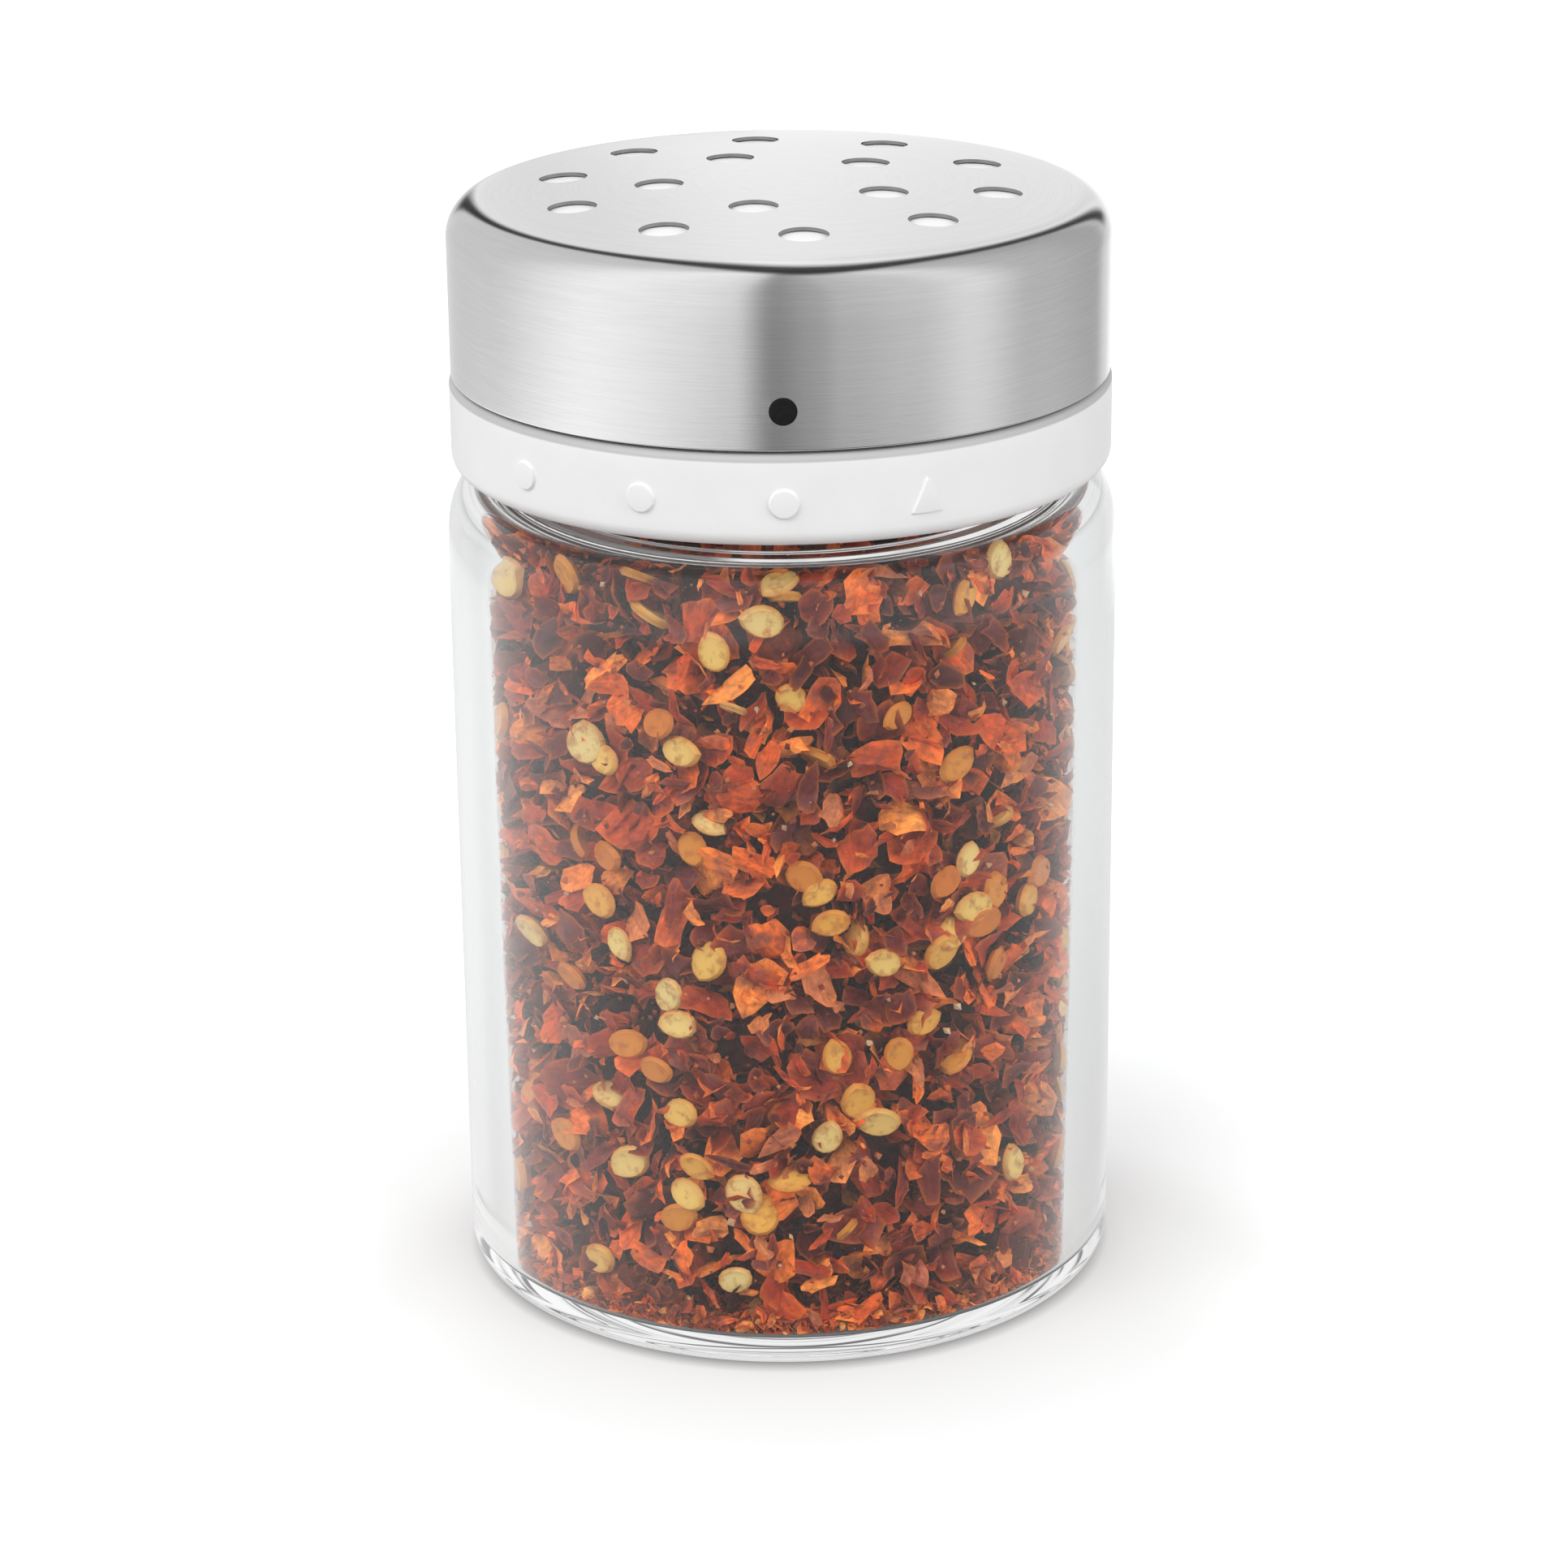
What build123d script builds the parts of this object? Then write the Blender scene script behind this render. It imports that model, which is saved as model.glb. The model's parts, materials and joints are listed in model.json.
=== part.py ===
"""Glass shaker jar with a screw-on dial lid, in millimetres, +Z up, origin at the base centre.

The jar's neck carries a screw collar. A sifter disc sits in the collar's tower, and a steel cap
with a plastic liner turns on that tower, so that its holes meet the disc's holes or miss them.
It stands closed here, with the disc's white land under every hole of the cap.
"""

import math
import os

from build123d import *

# Glass jar
jar_radius = 29.0
jar_wall = 3.45
base_thickness = 1.9
heel_radius = 2.2
floor_corner_radius = 0.8
foot_width = 2.6
base_recess_depth = 0.4
base_recess_slope = 7.0
body_height = 67.5
shoulder_radius = 8.0
shoulder_step = 4.1
neck_height = 8.5
neck_wall = 2.9
lip_radius = 0.9
shoulder_wall = 3.8
bore_corner_radius = 2.5
bore_edge_radius = 0.5

# Chilli flakes in the jar, coarse lumps in rows that are set off by half a step
fill_gap = 0.3
fill_rise = 1.4
fill_heap = 1.6
flake_relief = 2.2
flake_rows = 11
flake_columns = 25
flake_depth_shares = (0.0, 0.85, 0.3, 1.0, 0.55)
flake_row_skip = 3

# Seal on the jar's rim
seal_thickness = 1.0
seal_width = 2.5
seal_lip_inset = 0.1

# Screw collar
shoulder_gap = 0.4
thread_depth = 1.3
thread_gap = 0.4
lip_gap = 0.4
collar_height = 7.8
collar_proud = 0.17
collar_top_round = 0.7
collar_bottom_round = 1.3
deck_thickness = 1.4
tower_wall = 1.2
throat_inset = 0.2
ledge_thickness = 1.3
ledge_slope = 1.0
seat_width = 1.4
groove_height = 2.4
groove_width = 1.4
groove_depth = 0.5

# Dial marks moulded on the collar
mark_height = 3.75
mark_radius = 1.2
mark_relief = 0.3
mark_root = 0.5
triangle_width = 2.8
triangle_height = 3.05
triangle_round = 0.2
mark_pitch = 24.0
dots_left_of_pointer = 2
dots = 3

# Stop that limits the dial to its marks
lug_width = 8.0
lug_height = 1.5
lug_depth = 1.0
lug_angle = 90.0
notch_gap = 0.3
notch_play = 0.6

# Cap liner
running_gap = 0.3
liner_wall = 1.15
liner_plate = 1.2
liner_gap = 0.05
liner_lift = 0.8
liner_corner_round = 0.6
bead_width = 0.8
bead_catch = 0.25

# Steel cap
cap_sheet = 0.3
cap_height = 16.1
cap_edge_gap = 0.27
crown_radius = 306.0
cap_round = 3.3

# Holes in the cap, and the holes of the sifter disc under them
hole_radius = 2.08
outer_ring_radius = 18.82
inner_ring_radius = 10.15
outer_holes = 10
inner_holes = 5
outer_first_angle = 5.8
inner_first_angle = -12.2
coarse_hole_radius = 1.6
fine_hole_radius = 0.9

cap_rings = (
    (outer_holes, outer_ring_radius, outer_first_angle),
    (inner_holes, inner_ring_radius, inner_first_angle),
)

# Sifter disc
disc_thickness = 1.3
disc_gap = 0.1
disc_fit = 0.1
disc_rim_width = 1.8
disc_rim_height = 1.3
disc_rim_drop = 0.4

# Pointer plug in the cap's skirt
pointer_radius = 1.135
pointer_height = 3.3
pointer_fit = 0.02
pointer_depth = 1.1

# One overrun serves every cut
overrun = 1.0

# The pointer faces the front, which is -Y
front_angle = -90.0

# Radii, from the jar outwards
jar_bore = jar_radius - jar_wall
neck_radius = jar_radius - shoulder_step
neck_bore = neck_radius - neck_wall
thread_bore = neck_radius + thread_depth + thread_gap
tower_bore = neck_radius + lip_gap
tower_radius = tower_bore + tower_wall
groove_radius = tower_radius - groove_depth
bead_radius = tower_radius - bead_catch
liner_bore = tower_radius + running_gap
liner_radius = liner_bore + liner_wall
cap_bore = liner_radius + liner_gap
cap_radius = cap_bore + cap_sheet
collar_radius = cap_radius + collar_proud
throat_radius = neck_bore + throat_inset
seat_radius = tower_bore - seat_width
disc_radius = tower_bore - disc_fit

# Heights, from the base upwards
shoulder_centre = jar_radius - shoulder_radius


def shoulder_z(radius):
    """Height of the shoulder's arc where it passes a radius."""
    return body_height + math.sqrt(shoulder_radius**2 - (radius - shoulder_centre) ** 2)


neck_z = shoulder_z(neck_radius)
bore_shoulder_z = neck_z - shoulder_wall
rim_z = neck_z + neck_height
fill_z = neck_z + fill_rise
ledge_z = rim_z + seal_thickness
collar_z = shoulder_z(thread_bore) + shoulder_gap
deck_z = collar_z + collar_height
groove_z = deck_z + groove_height
cap_z = deck_z + cap_edge_gap
crown_z = cap_z + cap_height
liner_z = deck_z + liner_lift


def crown_drop(radius):
    """How far the cap's crown has fallen at a radius."""
    return crown_radius - math.sqrt(crown_radius**2 - radius**2)


plate_z = crown_z - crown_drop(liner_bore) - cap_sheet - liner_gap - liner_plate
rim_top_z = plate_z - disc_gap
disc_z = rim_top_z - disc_rim_height
tower_z = rim_top_z - disc_rim_drop


def on_circle(centre, radius, degrees):
    """Point (r, z) on a circle in the profile's plane."""
    angle = math.radians(degrees)
    return (centre[0] + radius * math.cos(angle), centre[1] + radius * math.sin(angle))


def arc_to(centre, start, end):
    """Arc step about a centre: its middle point and its end."""
    radius = math.dist(centre, end)
    first, last = (math.degrees(math.atan2(p[1] - centre[1], p[0] - centre[0])) for p in (start, end))
    return (on_circle(centre, radius, (first + last) / 2), end)


def turned(start, *steps):
    """Solid turned about Z. A step is the next corner, or an arc's middle point and end."""
    edges = []
    here = start
    for step in (*steps, start):
        if isinstance(step[0], tuple):
            middle, end = step
            edges.append(ThreePointArc(*[(r, 0, z) for r, z in (here, middle, end)]))
        else:
            end = step
            edges.append(Line((here[0], 0, here[1]), (end[0], 0, end[1])))
        here = end
    return revolve(make_face(edges), Axis.Z)


def turned_corners(*corners, degrees=360.0):
    """Solid turned about Z from corners (r, z, round), where a round of 0 stays sharp."""
    points = [(r, 0, z) for r, z, _ in corners]
    outline = FilletPolyline(*points, radius=[size for _, _, size in corners], close=True)
    return revolve(make_face(outline.edges()), Axis.Z, degrees)


def post(radius, bottom, height):
    """Upright round post on the axis."""
    return Pos(Z=bottom) * Cylinder(radius, height, align=(Align.CENTER, Align.CENTER, Align.MIN))


def ring_of(shape, count, radius, first_angle):
    """Copies of a shape round a circle, counted from the pointer."""
    return [
        Rot(Z=front_angle + first_angle + index * 360.0 / count) * Pos(X=radius) * shape
        for index in range(count)
    ]


def drilled(plate, hole, *rings):
    """Plate with rings of upright holes, each ring (count, radius, first angle)."""
    for ring in rings:
        plate -= ring_of(hole, *ring)
    return plate


def outwards(radius, height, angle):
    """Plane on the lid's wall that faces outwards at an angle from the pointer."""
    direction = Vector(1, 0, 0).rotate(Axis.Z, front_angle + angle)
    return Plane(
        origin=direction * radius + Vector(0, 0, height),
        x_dir=Vector(0, 1, 0).rotate(Axis.Z, front_angle + angle),
        z_dir=direction,
    )


def glass_jar():
    """Thick-walled jar: rounded shoulder, square inside, plain neck, and a foot ring round a recess."""
    heel = (jar_radius - heel_radius, heel_radius)
    shoulder = (shoulder_centre, body_height)
    lip_z = rim_z - lip_radius
    outer_lip = (neck_radius - lip_radius, lip_z)
    inner_lip = (neck_bore + lip_radius, lip_z)
    bore_edge = (neck_bore + bore_edge_radius, bore_shoulder_z + bore_edge_radius)
    bore_corner = (jar_bore - bore_corner_radius, bore_shoulder_z - bore_corner_radius)
    floor_corner = (jar_bore - floor_corner_radius, base_thickness + floor_corner_radius)
    foot_radius = heel[0] - foot_width
    return turned(
        (0, base_recess_depth),
        (foot_radius - base_recess_slope, base_recess_depth),
        (foot_radius, 0),
        (heel[0], 0),
        arc_to(heel, (heel[0], 0), (jar_radius, heel_radius)),
        (jar_radius, body_height),
        arc_to(shoulder, (jar_radius, body_height), (neck_radius, neck_z)),
        (neck_radius, lip_z),
        arc_to(outer_lip, (neck_radius, lip_z), (outer_lip[0], rim_z)),
        (inner_lip[0], rim_z),
        (on_circle(inner_lip, lip_radius, 135), (neck_bore, lip_z)),
        (neck_bore, bore_edge[1]),
        (on_circle(bore_edge, bore_edge_radius, 225), (bore_edge[0], bore_shoulder_z)),
        (bore_corner[0], bore_shoulder_z),
        arc_to(bore_corner, (bore_corner[0], bore_shoulder_z), (jar_bore, bore_corner[1])),
        (jar_bore, floor_corner[1]),
        arc_to(floor_corner, (jar_bore, floor_corner[1]), (floor_corner[0], base_thickness)),
        (0, base_thickness),
    )


def faceted(rings, bottom, top):
    """Solid of flat facets between rings of points, closed by a fan at each end."""
    faces = []
    for ring, above in zip(rings, rings[1:]):
        for index, point in enumerate(ring):
            after = (index + 1) % len(ring)
            faces.append((point, ring[after], above[index]))
            faces.append((ring[after], above[after], above[index]))
    for end, ring in ((bottom, rings[0]), (top, rings[-1])):
        for index, point in enumerate(ring):
            faces.append((end, point, ring[(index + 1) % len(ring)]))
    return Solid(Shell([Face(Wire.make_polygon(corners, close=True)) for corners in faces]))


def lumpy_ring(radius, height, row):
    """Points round the axis, each sunk by its share of the flakes' relief."""
    points = []
    for column in range(flake_columns):
        share = flake_depth_shares[(2 * column + flake_row_skip * row) % len(flake_depth_shares)]
        spoke = Vector(radius - share * flake_relief, 0, height)
        points.append(spoke.rotate(Axis.Z, (column + row / 2) * 360.0 / flake_columns))
    return points


def chilli_flakes():
    """The contents as one lumpy body, a little clear of the glass and heaped in the neck."""
    radius = jar_bore - fill_gap
    neck = neck_bore - fill_gap
    floor = base_thickness + fill_gap
    top = bore_shoulder_z - bore_corner_radius
    rings = [lumpy_ring(radius - floor_corner_radius, floor, 0)]
    for row in range(1, flake_rows + 1):
        rings.append(lumpy_ring(radius, floor + (top - floor) * row / flake_rows, row))
    rings.append(lumpy_ring(neck, bore_shoulder_z, flake_rows + 1))
    rings.append(lumpy_ring(neck, fill_z, flake_rows + 2))
    return faceted(rings, Vector(0, 0, floor), Vector(0, 0, fill_z + fill_heap))


def rim_seal():
    """Flat silicone ring squeezed between the jar's rim and the collar's ledge."""
    outer = neck_radius - seal_lip_inset
    return turned_corners(
        (outer - seal_width, rim_z, 0),
        (outer, rim_z, 0),
        (outer, ledge_z, 0),
        (outer - seal_width, ledge_z, 0),
    )


def dial_marks():
    """Raised dots, and a triangle for the end of the dial where the lid unscrews."""
    reach = mark_root + mark_relief
    root = collar_radius - mark_root
    dot_z = collar_z + mark_height
    marks = []
    for index in range(dots):
        angle = (index - dots_left_of_pointer) * mark_pitch
        marks.append(extrude(outwards(root, dot_z, angle) * Circle(mark_radius), reach))
    side = math.hypot(triangle_width / 2, triangle_height)
    corners = Triangle(a=triangle_width, b=side, c=side, align=(Align.CENTER, Align.CENTER))
    triangle = fillet(corners.vertices(), triangle_round)
    place = outwards(root, dot_z, (dots - dots_left_of_pointer) * mark_pitch)
    marks.append(extrude(place * triangle, reach))
    return marks


def stop_lug():
    """Lug on the tower that the liner's notch runs between."""
    half = lug_width / 2
    inner = tower_bore + tower_wall / 2
    outer = tower_radius + lug_depth
    lug = turned_corners(
        (inner, deck_z - deck_thickness / 2, 0),
        (outer, deck_z - deck_thickness / 2, 0),
        (outer, deck_z + lug_height, 0),
        (inner, deck_z + lug_height, 0),
        degrees=lug_width,
    )
    return Rot(Z=lug_angle - half) * lug


def screw_collar():
    """White collar: a skirt over the neck, a deck, and a tower with ledges for the seal and the disc."""
    groove_low = groove_z - groove_width / 2
    groove_high = groove_z + groove_width / 2
    seat_under = disc_z - ledge_thickness
    throat_top = ledge_z + ledge_thickness
    body = turned_corners(
        (thread_bore, collar_z, 0),
        (collar_radius, collar_z, collar_bottom_round),
        (collar_radius, deck_z, collar_top_round),
        (tower_radius, deck_z, 0),
        (tower_radius, groove_low, 0),
        (groove_radius, groove_low, 0),
        (groove_radius, groove_high, 0),
        (tower_radius, groove_high, 0),
        (tower_radius, tower_z, 0),
        (tower_bore, tower_z, 0),
        (tower_bore, disc_z, 0),
        (seat_radius, disc_z, 0),
        (seat_radius, seat_under, 0),
        (tower_bore, seat_under - ledge_slope, 0),
        (tower_bore, throat_top, 0),
        (throat_radius, throat_top, 0),
        (throat_radius, ledge_z, 0),
        (tower_bore, ledge_z, 0),
        (tower_bore, deck_z - deck_thickness, 0),
        (thread_bore, deck_z - deck_thickness, 0),
    )
    return body + [stop_lug(), *dial_marks()]


def sifter_disc():
    """Dished disc just under the cap: coarse holes for the first dot, fine ones for the second."""
    crown_centre = (0, crown_z - crown_radius)
    top_radius = crown_radius - cap_sheet - disc_gap
    under_radius = top_radius - disc_thickness
    inner = disc_radius - disc_rim_width
    rim = (disc_radius, crown_centre[1] + math.sqrt(top_radius**2 - disc_radius**2))
    hollow = (inner, crown_centre[1] + math.sqrt(under_radius**2 - inner**2))
    crest = (0, crown_centre[1] + under_radius)
    disc = turned(
        crest,
        arc_to(crown_centre, crest, hollow),
        (inner, disc_z),
        (disc_radius, disc_z),
        rim,
        arc_to(crown_centre, rim, (0, crown_centre[1] + top_radius)),
    )
    depth = crown_z - disc_z + 2 * overrun
    coarse_turn = -dots_left_of_pointer * mark_pitch
    fine_turn = coarse_turn + mark_pitch
    coarse_hole = post(coarse_hole_radius, disc_z - overrun, depth)
    fine_hole = post(fine_hole_radius, disc_z - overrun, depth)
    coarse_rings = [(count, radius, first + coarse_turn) for count, radius, first in cap_rings]
    disc = drilled(disc, coarse_hole, *coarse_rings)
    return drilled(disc, fine_hole, (outer_holes, outer_ring_radius, outer_first_angle + fine_turn))


def crowned_blank(inset, bottom):
    """Round block under the cap's crown, held in by inset from the cap's outer face."""
    radius = cap_radius - inset
    crown_centre = (0, crown_z - crown_radius)
    edge_radius = cap_radius - cap_round
    edge_rise = math.sqrt((crown_radius - cap_round) ** 2 - edge_radius**2)
    edge_centre = (edge_radius, crown_centre[1] + edge_rise)
    crown_angle = math.degrees(math.atan2(edge_rise, edge_radius))
    crown_end = on_circle(crown_centre, crown_radius - inset, crown_angle)
    return turned(
        (0, bottom),
        (radius, bottom),
        (radius, edge_centre[1]),
        arc_to(edge_centre, (radius, edge_centre[1]), crown_end),
        arc_to(crown_centre, crown_end, (0, crown_z - inset)),
    )


def cap_hole():
    """Upright cutter for one hole through the cap."""
    return post(hole_radius, plate_z - overrun, crown_z - plate_z + 2 * overrun)


def pointer_peg(radius, depth, reach):
    """Round peg that points out of the cap's skirt, from depth below its face to reach above it."""
    place = outwards(cap_radius - depth, cap_z + pointer_height, 0)
    return extrude(place * Circle(radius), depth + reach)


def cap_liner():
    """White liner in the cap: a rim round the disc and a skirt that snaps over the tower."""
    liner = crowned_blank(cap_sheet + liner_gap, liner_z)
    bead_low = groove_z - bead_width / 2
    bead_high = groove_z + bead_width / 2
    rim_bore = disc_radius + running_gap
    liner -= turned_corners(
        (0, liner_z - overrun, 0),
        (liner_bore, liner_z - overrun, 0),
        (liner_bore, bead_low, 0),
        (bead_radius, bead_low, 0),
        (bead_radius, bead_high, 0),
        (liner_bore, bead_high, 0),
        (liner_bore, plate_z, liner_corner_round),
        (rim_bore, plate_z, 0),
        (rim_bore, crown_z + overrun, 0),
        (0, crown_z + overrun, 0),
    )
    low_turn = -dots_left_of_pointer * mark_pitch
    high_turn = (dots - dots_left_of_pointer) * mark_pitch
    notch_span = high_turn - low_turn + lug_width + 2 * notch_play
    notch_start = lug_angle - high_turn - lug_width / 2 - notch_play
    notch_top = deck_z + lug_height + notch_gap
    notch = turned_corners(
        (bead_radius - overrun, liner_z - overrun, 0),
        (cap_radius, liner_z - overrun, 0),
        (cap_radius, notch_top, 0),
        (bead_radius - overrun, notch_top, 0),
        degrees=notch_span,
    )
    liner -= Rot(Z=notch_start) * notch
    return liner - pointer_peg(pointer_radius + pointer_fit, pointer_depth + pointer_fit, overrun)


def steel_cap():
    """Drawn steel cup with a low crown, a rounded top edge and two rings of holes."""
    cup = crowned_blank(0, cap_z) - crowned_blank(cap_sheet, cap_z - overrun)
    cup = drilled(cup, cap_hole(), *cap_rings)
    return cup - pointer_peg(pointer_radius + pointer_fit, pointer_depth, overrun)


def pointer_dot():
    """Black plug through the cap's skirt into the liner, flush with the steel."""
    skirt = post(cap_radius, cap_z, cap_height)
    return pointer_peg(pointer_radius, pointer_depth, overrun) & skirt


nodes = (glass_jar, chilli_flakes, rim_seal, screw_collar, sifter_disc, cap_liner, steel_cap, pointer_dot)

os.makedirs("parts", exist_ok=True)
for make_node in nodes:
    export_step(make_node(), f"parts/{make_node.__name__}.step")
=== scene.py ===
"""Dresses the glass chilli shaker: clear jar, flakes and seeds, white collar, brushed steel dial cap.

Units are metres. The jar stands on the origin with +Z up, and the pointer dot faces -Y.
"""

import json
import random
from math import atan2, cos, degrees, exp, hypot, log, pi, radians, sin, sqrt, tan

import bmesh
import bpy
import numpy as np
from mathutils import Matrix, Vector
from mathutils.geometry import interpolate_bezier

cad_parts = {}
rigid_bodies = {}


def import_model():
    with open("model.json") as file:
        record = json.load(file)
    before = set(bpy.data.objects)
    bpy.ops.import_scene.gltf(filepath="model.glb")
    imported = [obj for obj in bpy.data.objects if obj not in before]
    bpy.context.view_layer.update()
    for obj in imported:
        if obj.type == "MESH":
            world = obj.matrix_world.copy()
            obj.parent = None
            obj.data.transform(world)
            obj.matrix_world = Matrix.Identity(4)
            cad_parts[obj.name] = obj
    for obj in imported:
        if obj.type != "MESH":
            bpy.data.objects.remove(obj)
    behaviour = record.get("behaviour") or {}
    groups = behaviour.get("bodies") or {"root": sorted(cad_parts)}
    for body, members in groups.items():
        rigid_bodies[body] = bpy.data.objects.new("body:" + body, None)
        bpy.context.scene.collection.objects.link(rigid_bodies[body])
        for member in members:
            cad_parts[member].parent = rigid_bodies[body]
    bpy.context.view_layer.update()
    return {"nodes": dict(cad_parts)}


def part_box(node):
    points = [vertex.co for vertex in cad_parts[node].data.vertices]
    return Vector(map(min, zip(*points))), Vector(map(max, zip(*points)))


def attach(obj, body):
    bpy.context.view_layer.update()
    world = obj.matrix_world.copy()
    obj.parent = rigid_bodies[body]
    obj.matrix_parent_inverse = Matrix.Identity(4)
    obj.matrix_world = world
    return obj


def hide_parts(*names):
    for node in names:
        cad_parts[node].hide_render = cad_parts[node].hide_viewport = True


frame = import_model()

# Sizes read from the frame
jar_radius, _, rim_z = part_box("glass_jar")[1]
(_, _, collar_z), (collar_radius, _, tower_z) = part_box("screw_collar")
(_, _, cap_z), (cap_radius, _, crown_z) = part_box("steel_cap")
disc_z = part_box("sifter_disc")[0].z
seal_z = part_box("rim_seal")[1].z
(_, pointer_face, pointer_low), (pointer_radius, pointer_back, pointer_top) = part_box("pointer_dot")
pointer_z = (pointer_low + pointer_top) / 2
pointer_depth = pointer_back - pointer_face

# All pieces. Angles are in degrees from +X, and the pointer faces -Y
front_angle = -90.0
crease_angle = 38.0
no_distance = 1e-9
merge_distance = 1e-8
same_wall = 1e-6

# Glass jar
jar_wall = 0.00345
base_thickness = 0.0019
heel_radius = 0.0022
floor_corner_radius = 0.0008
foot_width = 0.0026
foot_round = 0.0006
base_recess_depth = 0.0004
base_recess_slope = 0.007
body_height = 0.0675
shoulder_radius = 0.008
shoulder_step = 0.0041
shoulder_ease = 0.004
shoulder_ease_angle = 24.0
shoulder_ease_points = 16
neck_wall = 0.0029
neck_blend = 0.0008
lip_radius = 0.0009
shoulder_wall = 0.0038
bore_corner_radius = 0.0025
bore_edge_radius = 0.0005
neck_rows = 40
jar_columns = 192
jar_bore = jar_radius - jar_wall
neck_radius = jar_radius - shoulder_step
neck_bore = neck_radius - neck_wall
shoulder_centre = (jar_radius - shoulder_radius, body_height)
neck_z = body_height + sqrt(shoulder_radius**2 - (neck_radius - shoulder_centre[0]) ** 2)
bore_shoulder_z = neck_z - shoulder_wall

# Screw thread, on the neck and in the collar
thread_lead = 0.0042
thread_depth = 0.0012
thread_half_width = 0.0011
thread_turns = 1.15
thread_run_out = 0.08
neck_thread_z = 0.0764
collar_thread_z = 0.0747

# Screw collar
collar_height = 0.0078
collar_top_round = 0.0007
collar_bottom_round = 0.0013
collar_edge_round = 0.0002
collar_turn_columns = 144
column_gap = 0.015
deck_thickness = 0.0014
thread_clearance = 0.0017
thread_bore_rows = 34
tower_clearance = 0.0004
tower_wall = 0.0012
throat_clearance = 0.0002
seat_width = 0.0014
ledge_thickness = 0.0013
ledge_slope = 0.001
groove_height = 0.0024
groove_width = 0.0014
groove_depth = 0.0005
thread_bore = neck_radius + thread_clearance
tower_bore = neck_radius + tower_clearance
tower_radius = tower_bore + tower_wall
throat_radius = neck_bore + throat_clearance
seat_radius = tower_bore - seat_width
deck_z = collar_z + collar_height

# Dial marks on the collar
mark_rise = 0.00375
mark_radius = 0.0012
mark_relief = 0.0003
mark_edge = 0.00013
mark_dome = 0.35
mark_step = 0.00006
mark_margin = 0.0005
mark_pitch = 24.0
dot_places = (-2, -1, 0)
triangle_place = 1
triangle_width = 0.0028
triangle_height = 0.00305
triangle_corner = 0.00009
exponent_limit = 60.0
mark_z = collar_z + mark_rise
mark_half = mark_radius + mark_margin
mark_angles = {
    place: radians(front_angle + place * mark_pitch) for place in (*dot_places, triangle_place)
}

# Steel cap: its rings of holes have a count, a radius and a first angle from the pointer
cap_sheet = 0.0003
cap_round = 0.0033
cap_hem_round = 0.0001
cap_hem_support = 1.5 * cap_hem_round
cap_columns = 192
crown_radius = 0.306
hole_radius = 0.00208
hole_rings = ((10, 0.01882, 5.8), (5, 0.01015, -12.2))
hole_sides = 48
hole_depth = 0.008

# Pointer: rows of its face have a share of the radius and of the rim's height, None for the back
pointer_fit = 0.00002
pointer_proud = 0.00004
pointer_rim = 0.06 * pointer_radius
pointer_sides = 64
pointer_rows = ((0.0, 1.0), (0.35, 1.0), (0.7, 1.0), (0.94, 1.0), (0.985, 0.6), (1.0, 0.0), (1.0, None))

# Fill: its outline, held off the glass by a gap, and the heart inside, painted dark as shade
glass_gap = 0.00006
fill_z = 0.0759
fill_heap = 0.0016
fill_rows = 12
floor_rings = 4
fill_columns = 64
floor_strip = 0.002
heart_inset = 0.0036
press_rounds = 3

# Shapes of flakes, seeds and crumbs, about one unit in half-length, and the spans that their draws have
flake_shapes = 24
flake_sides = 14
flake_corners = (4, 5, 5, 6)
flake_corner_slip = 0.28
flake_corner_reach = (0.72, 1.2)
flake_edge_slip = (0.05, 0.75)
flake_edge_rag = (0.86, 1.1)
flake_waists = (0.2, 0.35, 0.5, 0.65, 0.8, 0.95)
flake_curls = (0.55, 0.9, 1.4, 2.2, 3.5)
flake_cups = (0.7, 4.0)
flake_thickness = (0.05, 0.09)
flake_crumple = 0.1
flake_twist = 0.3
flake_core = 0.52
seed_shapes = 6
seed_sides = 14
seed_rows = ((0.5, 0.19), (0.82, 0.21), (1.0, 0.0), (0.82, -0.21), (0.5, -0.19))
seed_dish = 0.17
seed_beak = (0.08, 0.22)
seed_beak_spread = 0.42
seed_waist = (0.84, 1.0)
seed_oval = 0.06
seed_oval_turn = 0.6
crumb_shapes = 4
crumb_reach = (0.45, 1.0)
shape_seeds = {"flake": 11, "seed": 23, "crumb": 31}

# Layers of the fill: name, host, shapes, finish, count per square metre, sizes, tilt, depths, random seed
fill_layers = (
    ("flakes_front", "surface", "flake", "flake", 1.7e5, (0.0009, 0.0033), 0.7, (0.0, 0.001), 101),
    ("flakes_middle", "surface", "flake", "flake", 2.0e5, (0.001, 0.0032), 1.2, (0.0006, 0.0024), 202),
    # The deep flakes take the shaded copy of the chilli finish: painted shade.
    ("flakes_deep", "surface", "flake", "deep_flake", 1.6e5, (0.0014, 0.003), 1.3, (0.0018, 0.0042), 303),
    ("flakes_floor", "corner", "flake", "flake", 1.4e6, (0.0005, 0.0013), 1.2, (0.0, 0.0006), 707),
    ("chilli_crumbs", "surface", "crumb", "crumb", 2.2e5, (0.00012, 0.0005), 3.0, (0.0, 0.0018), 505),
    ("chilli_dust", "surface", "crumb", "crumb", 2.4e5, (0.00004, 0.0001), 3.0, (0.0, 0.0002), 606),
)

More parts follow.
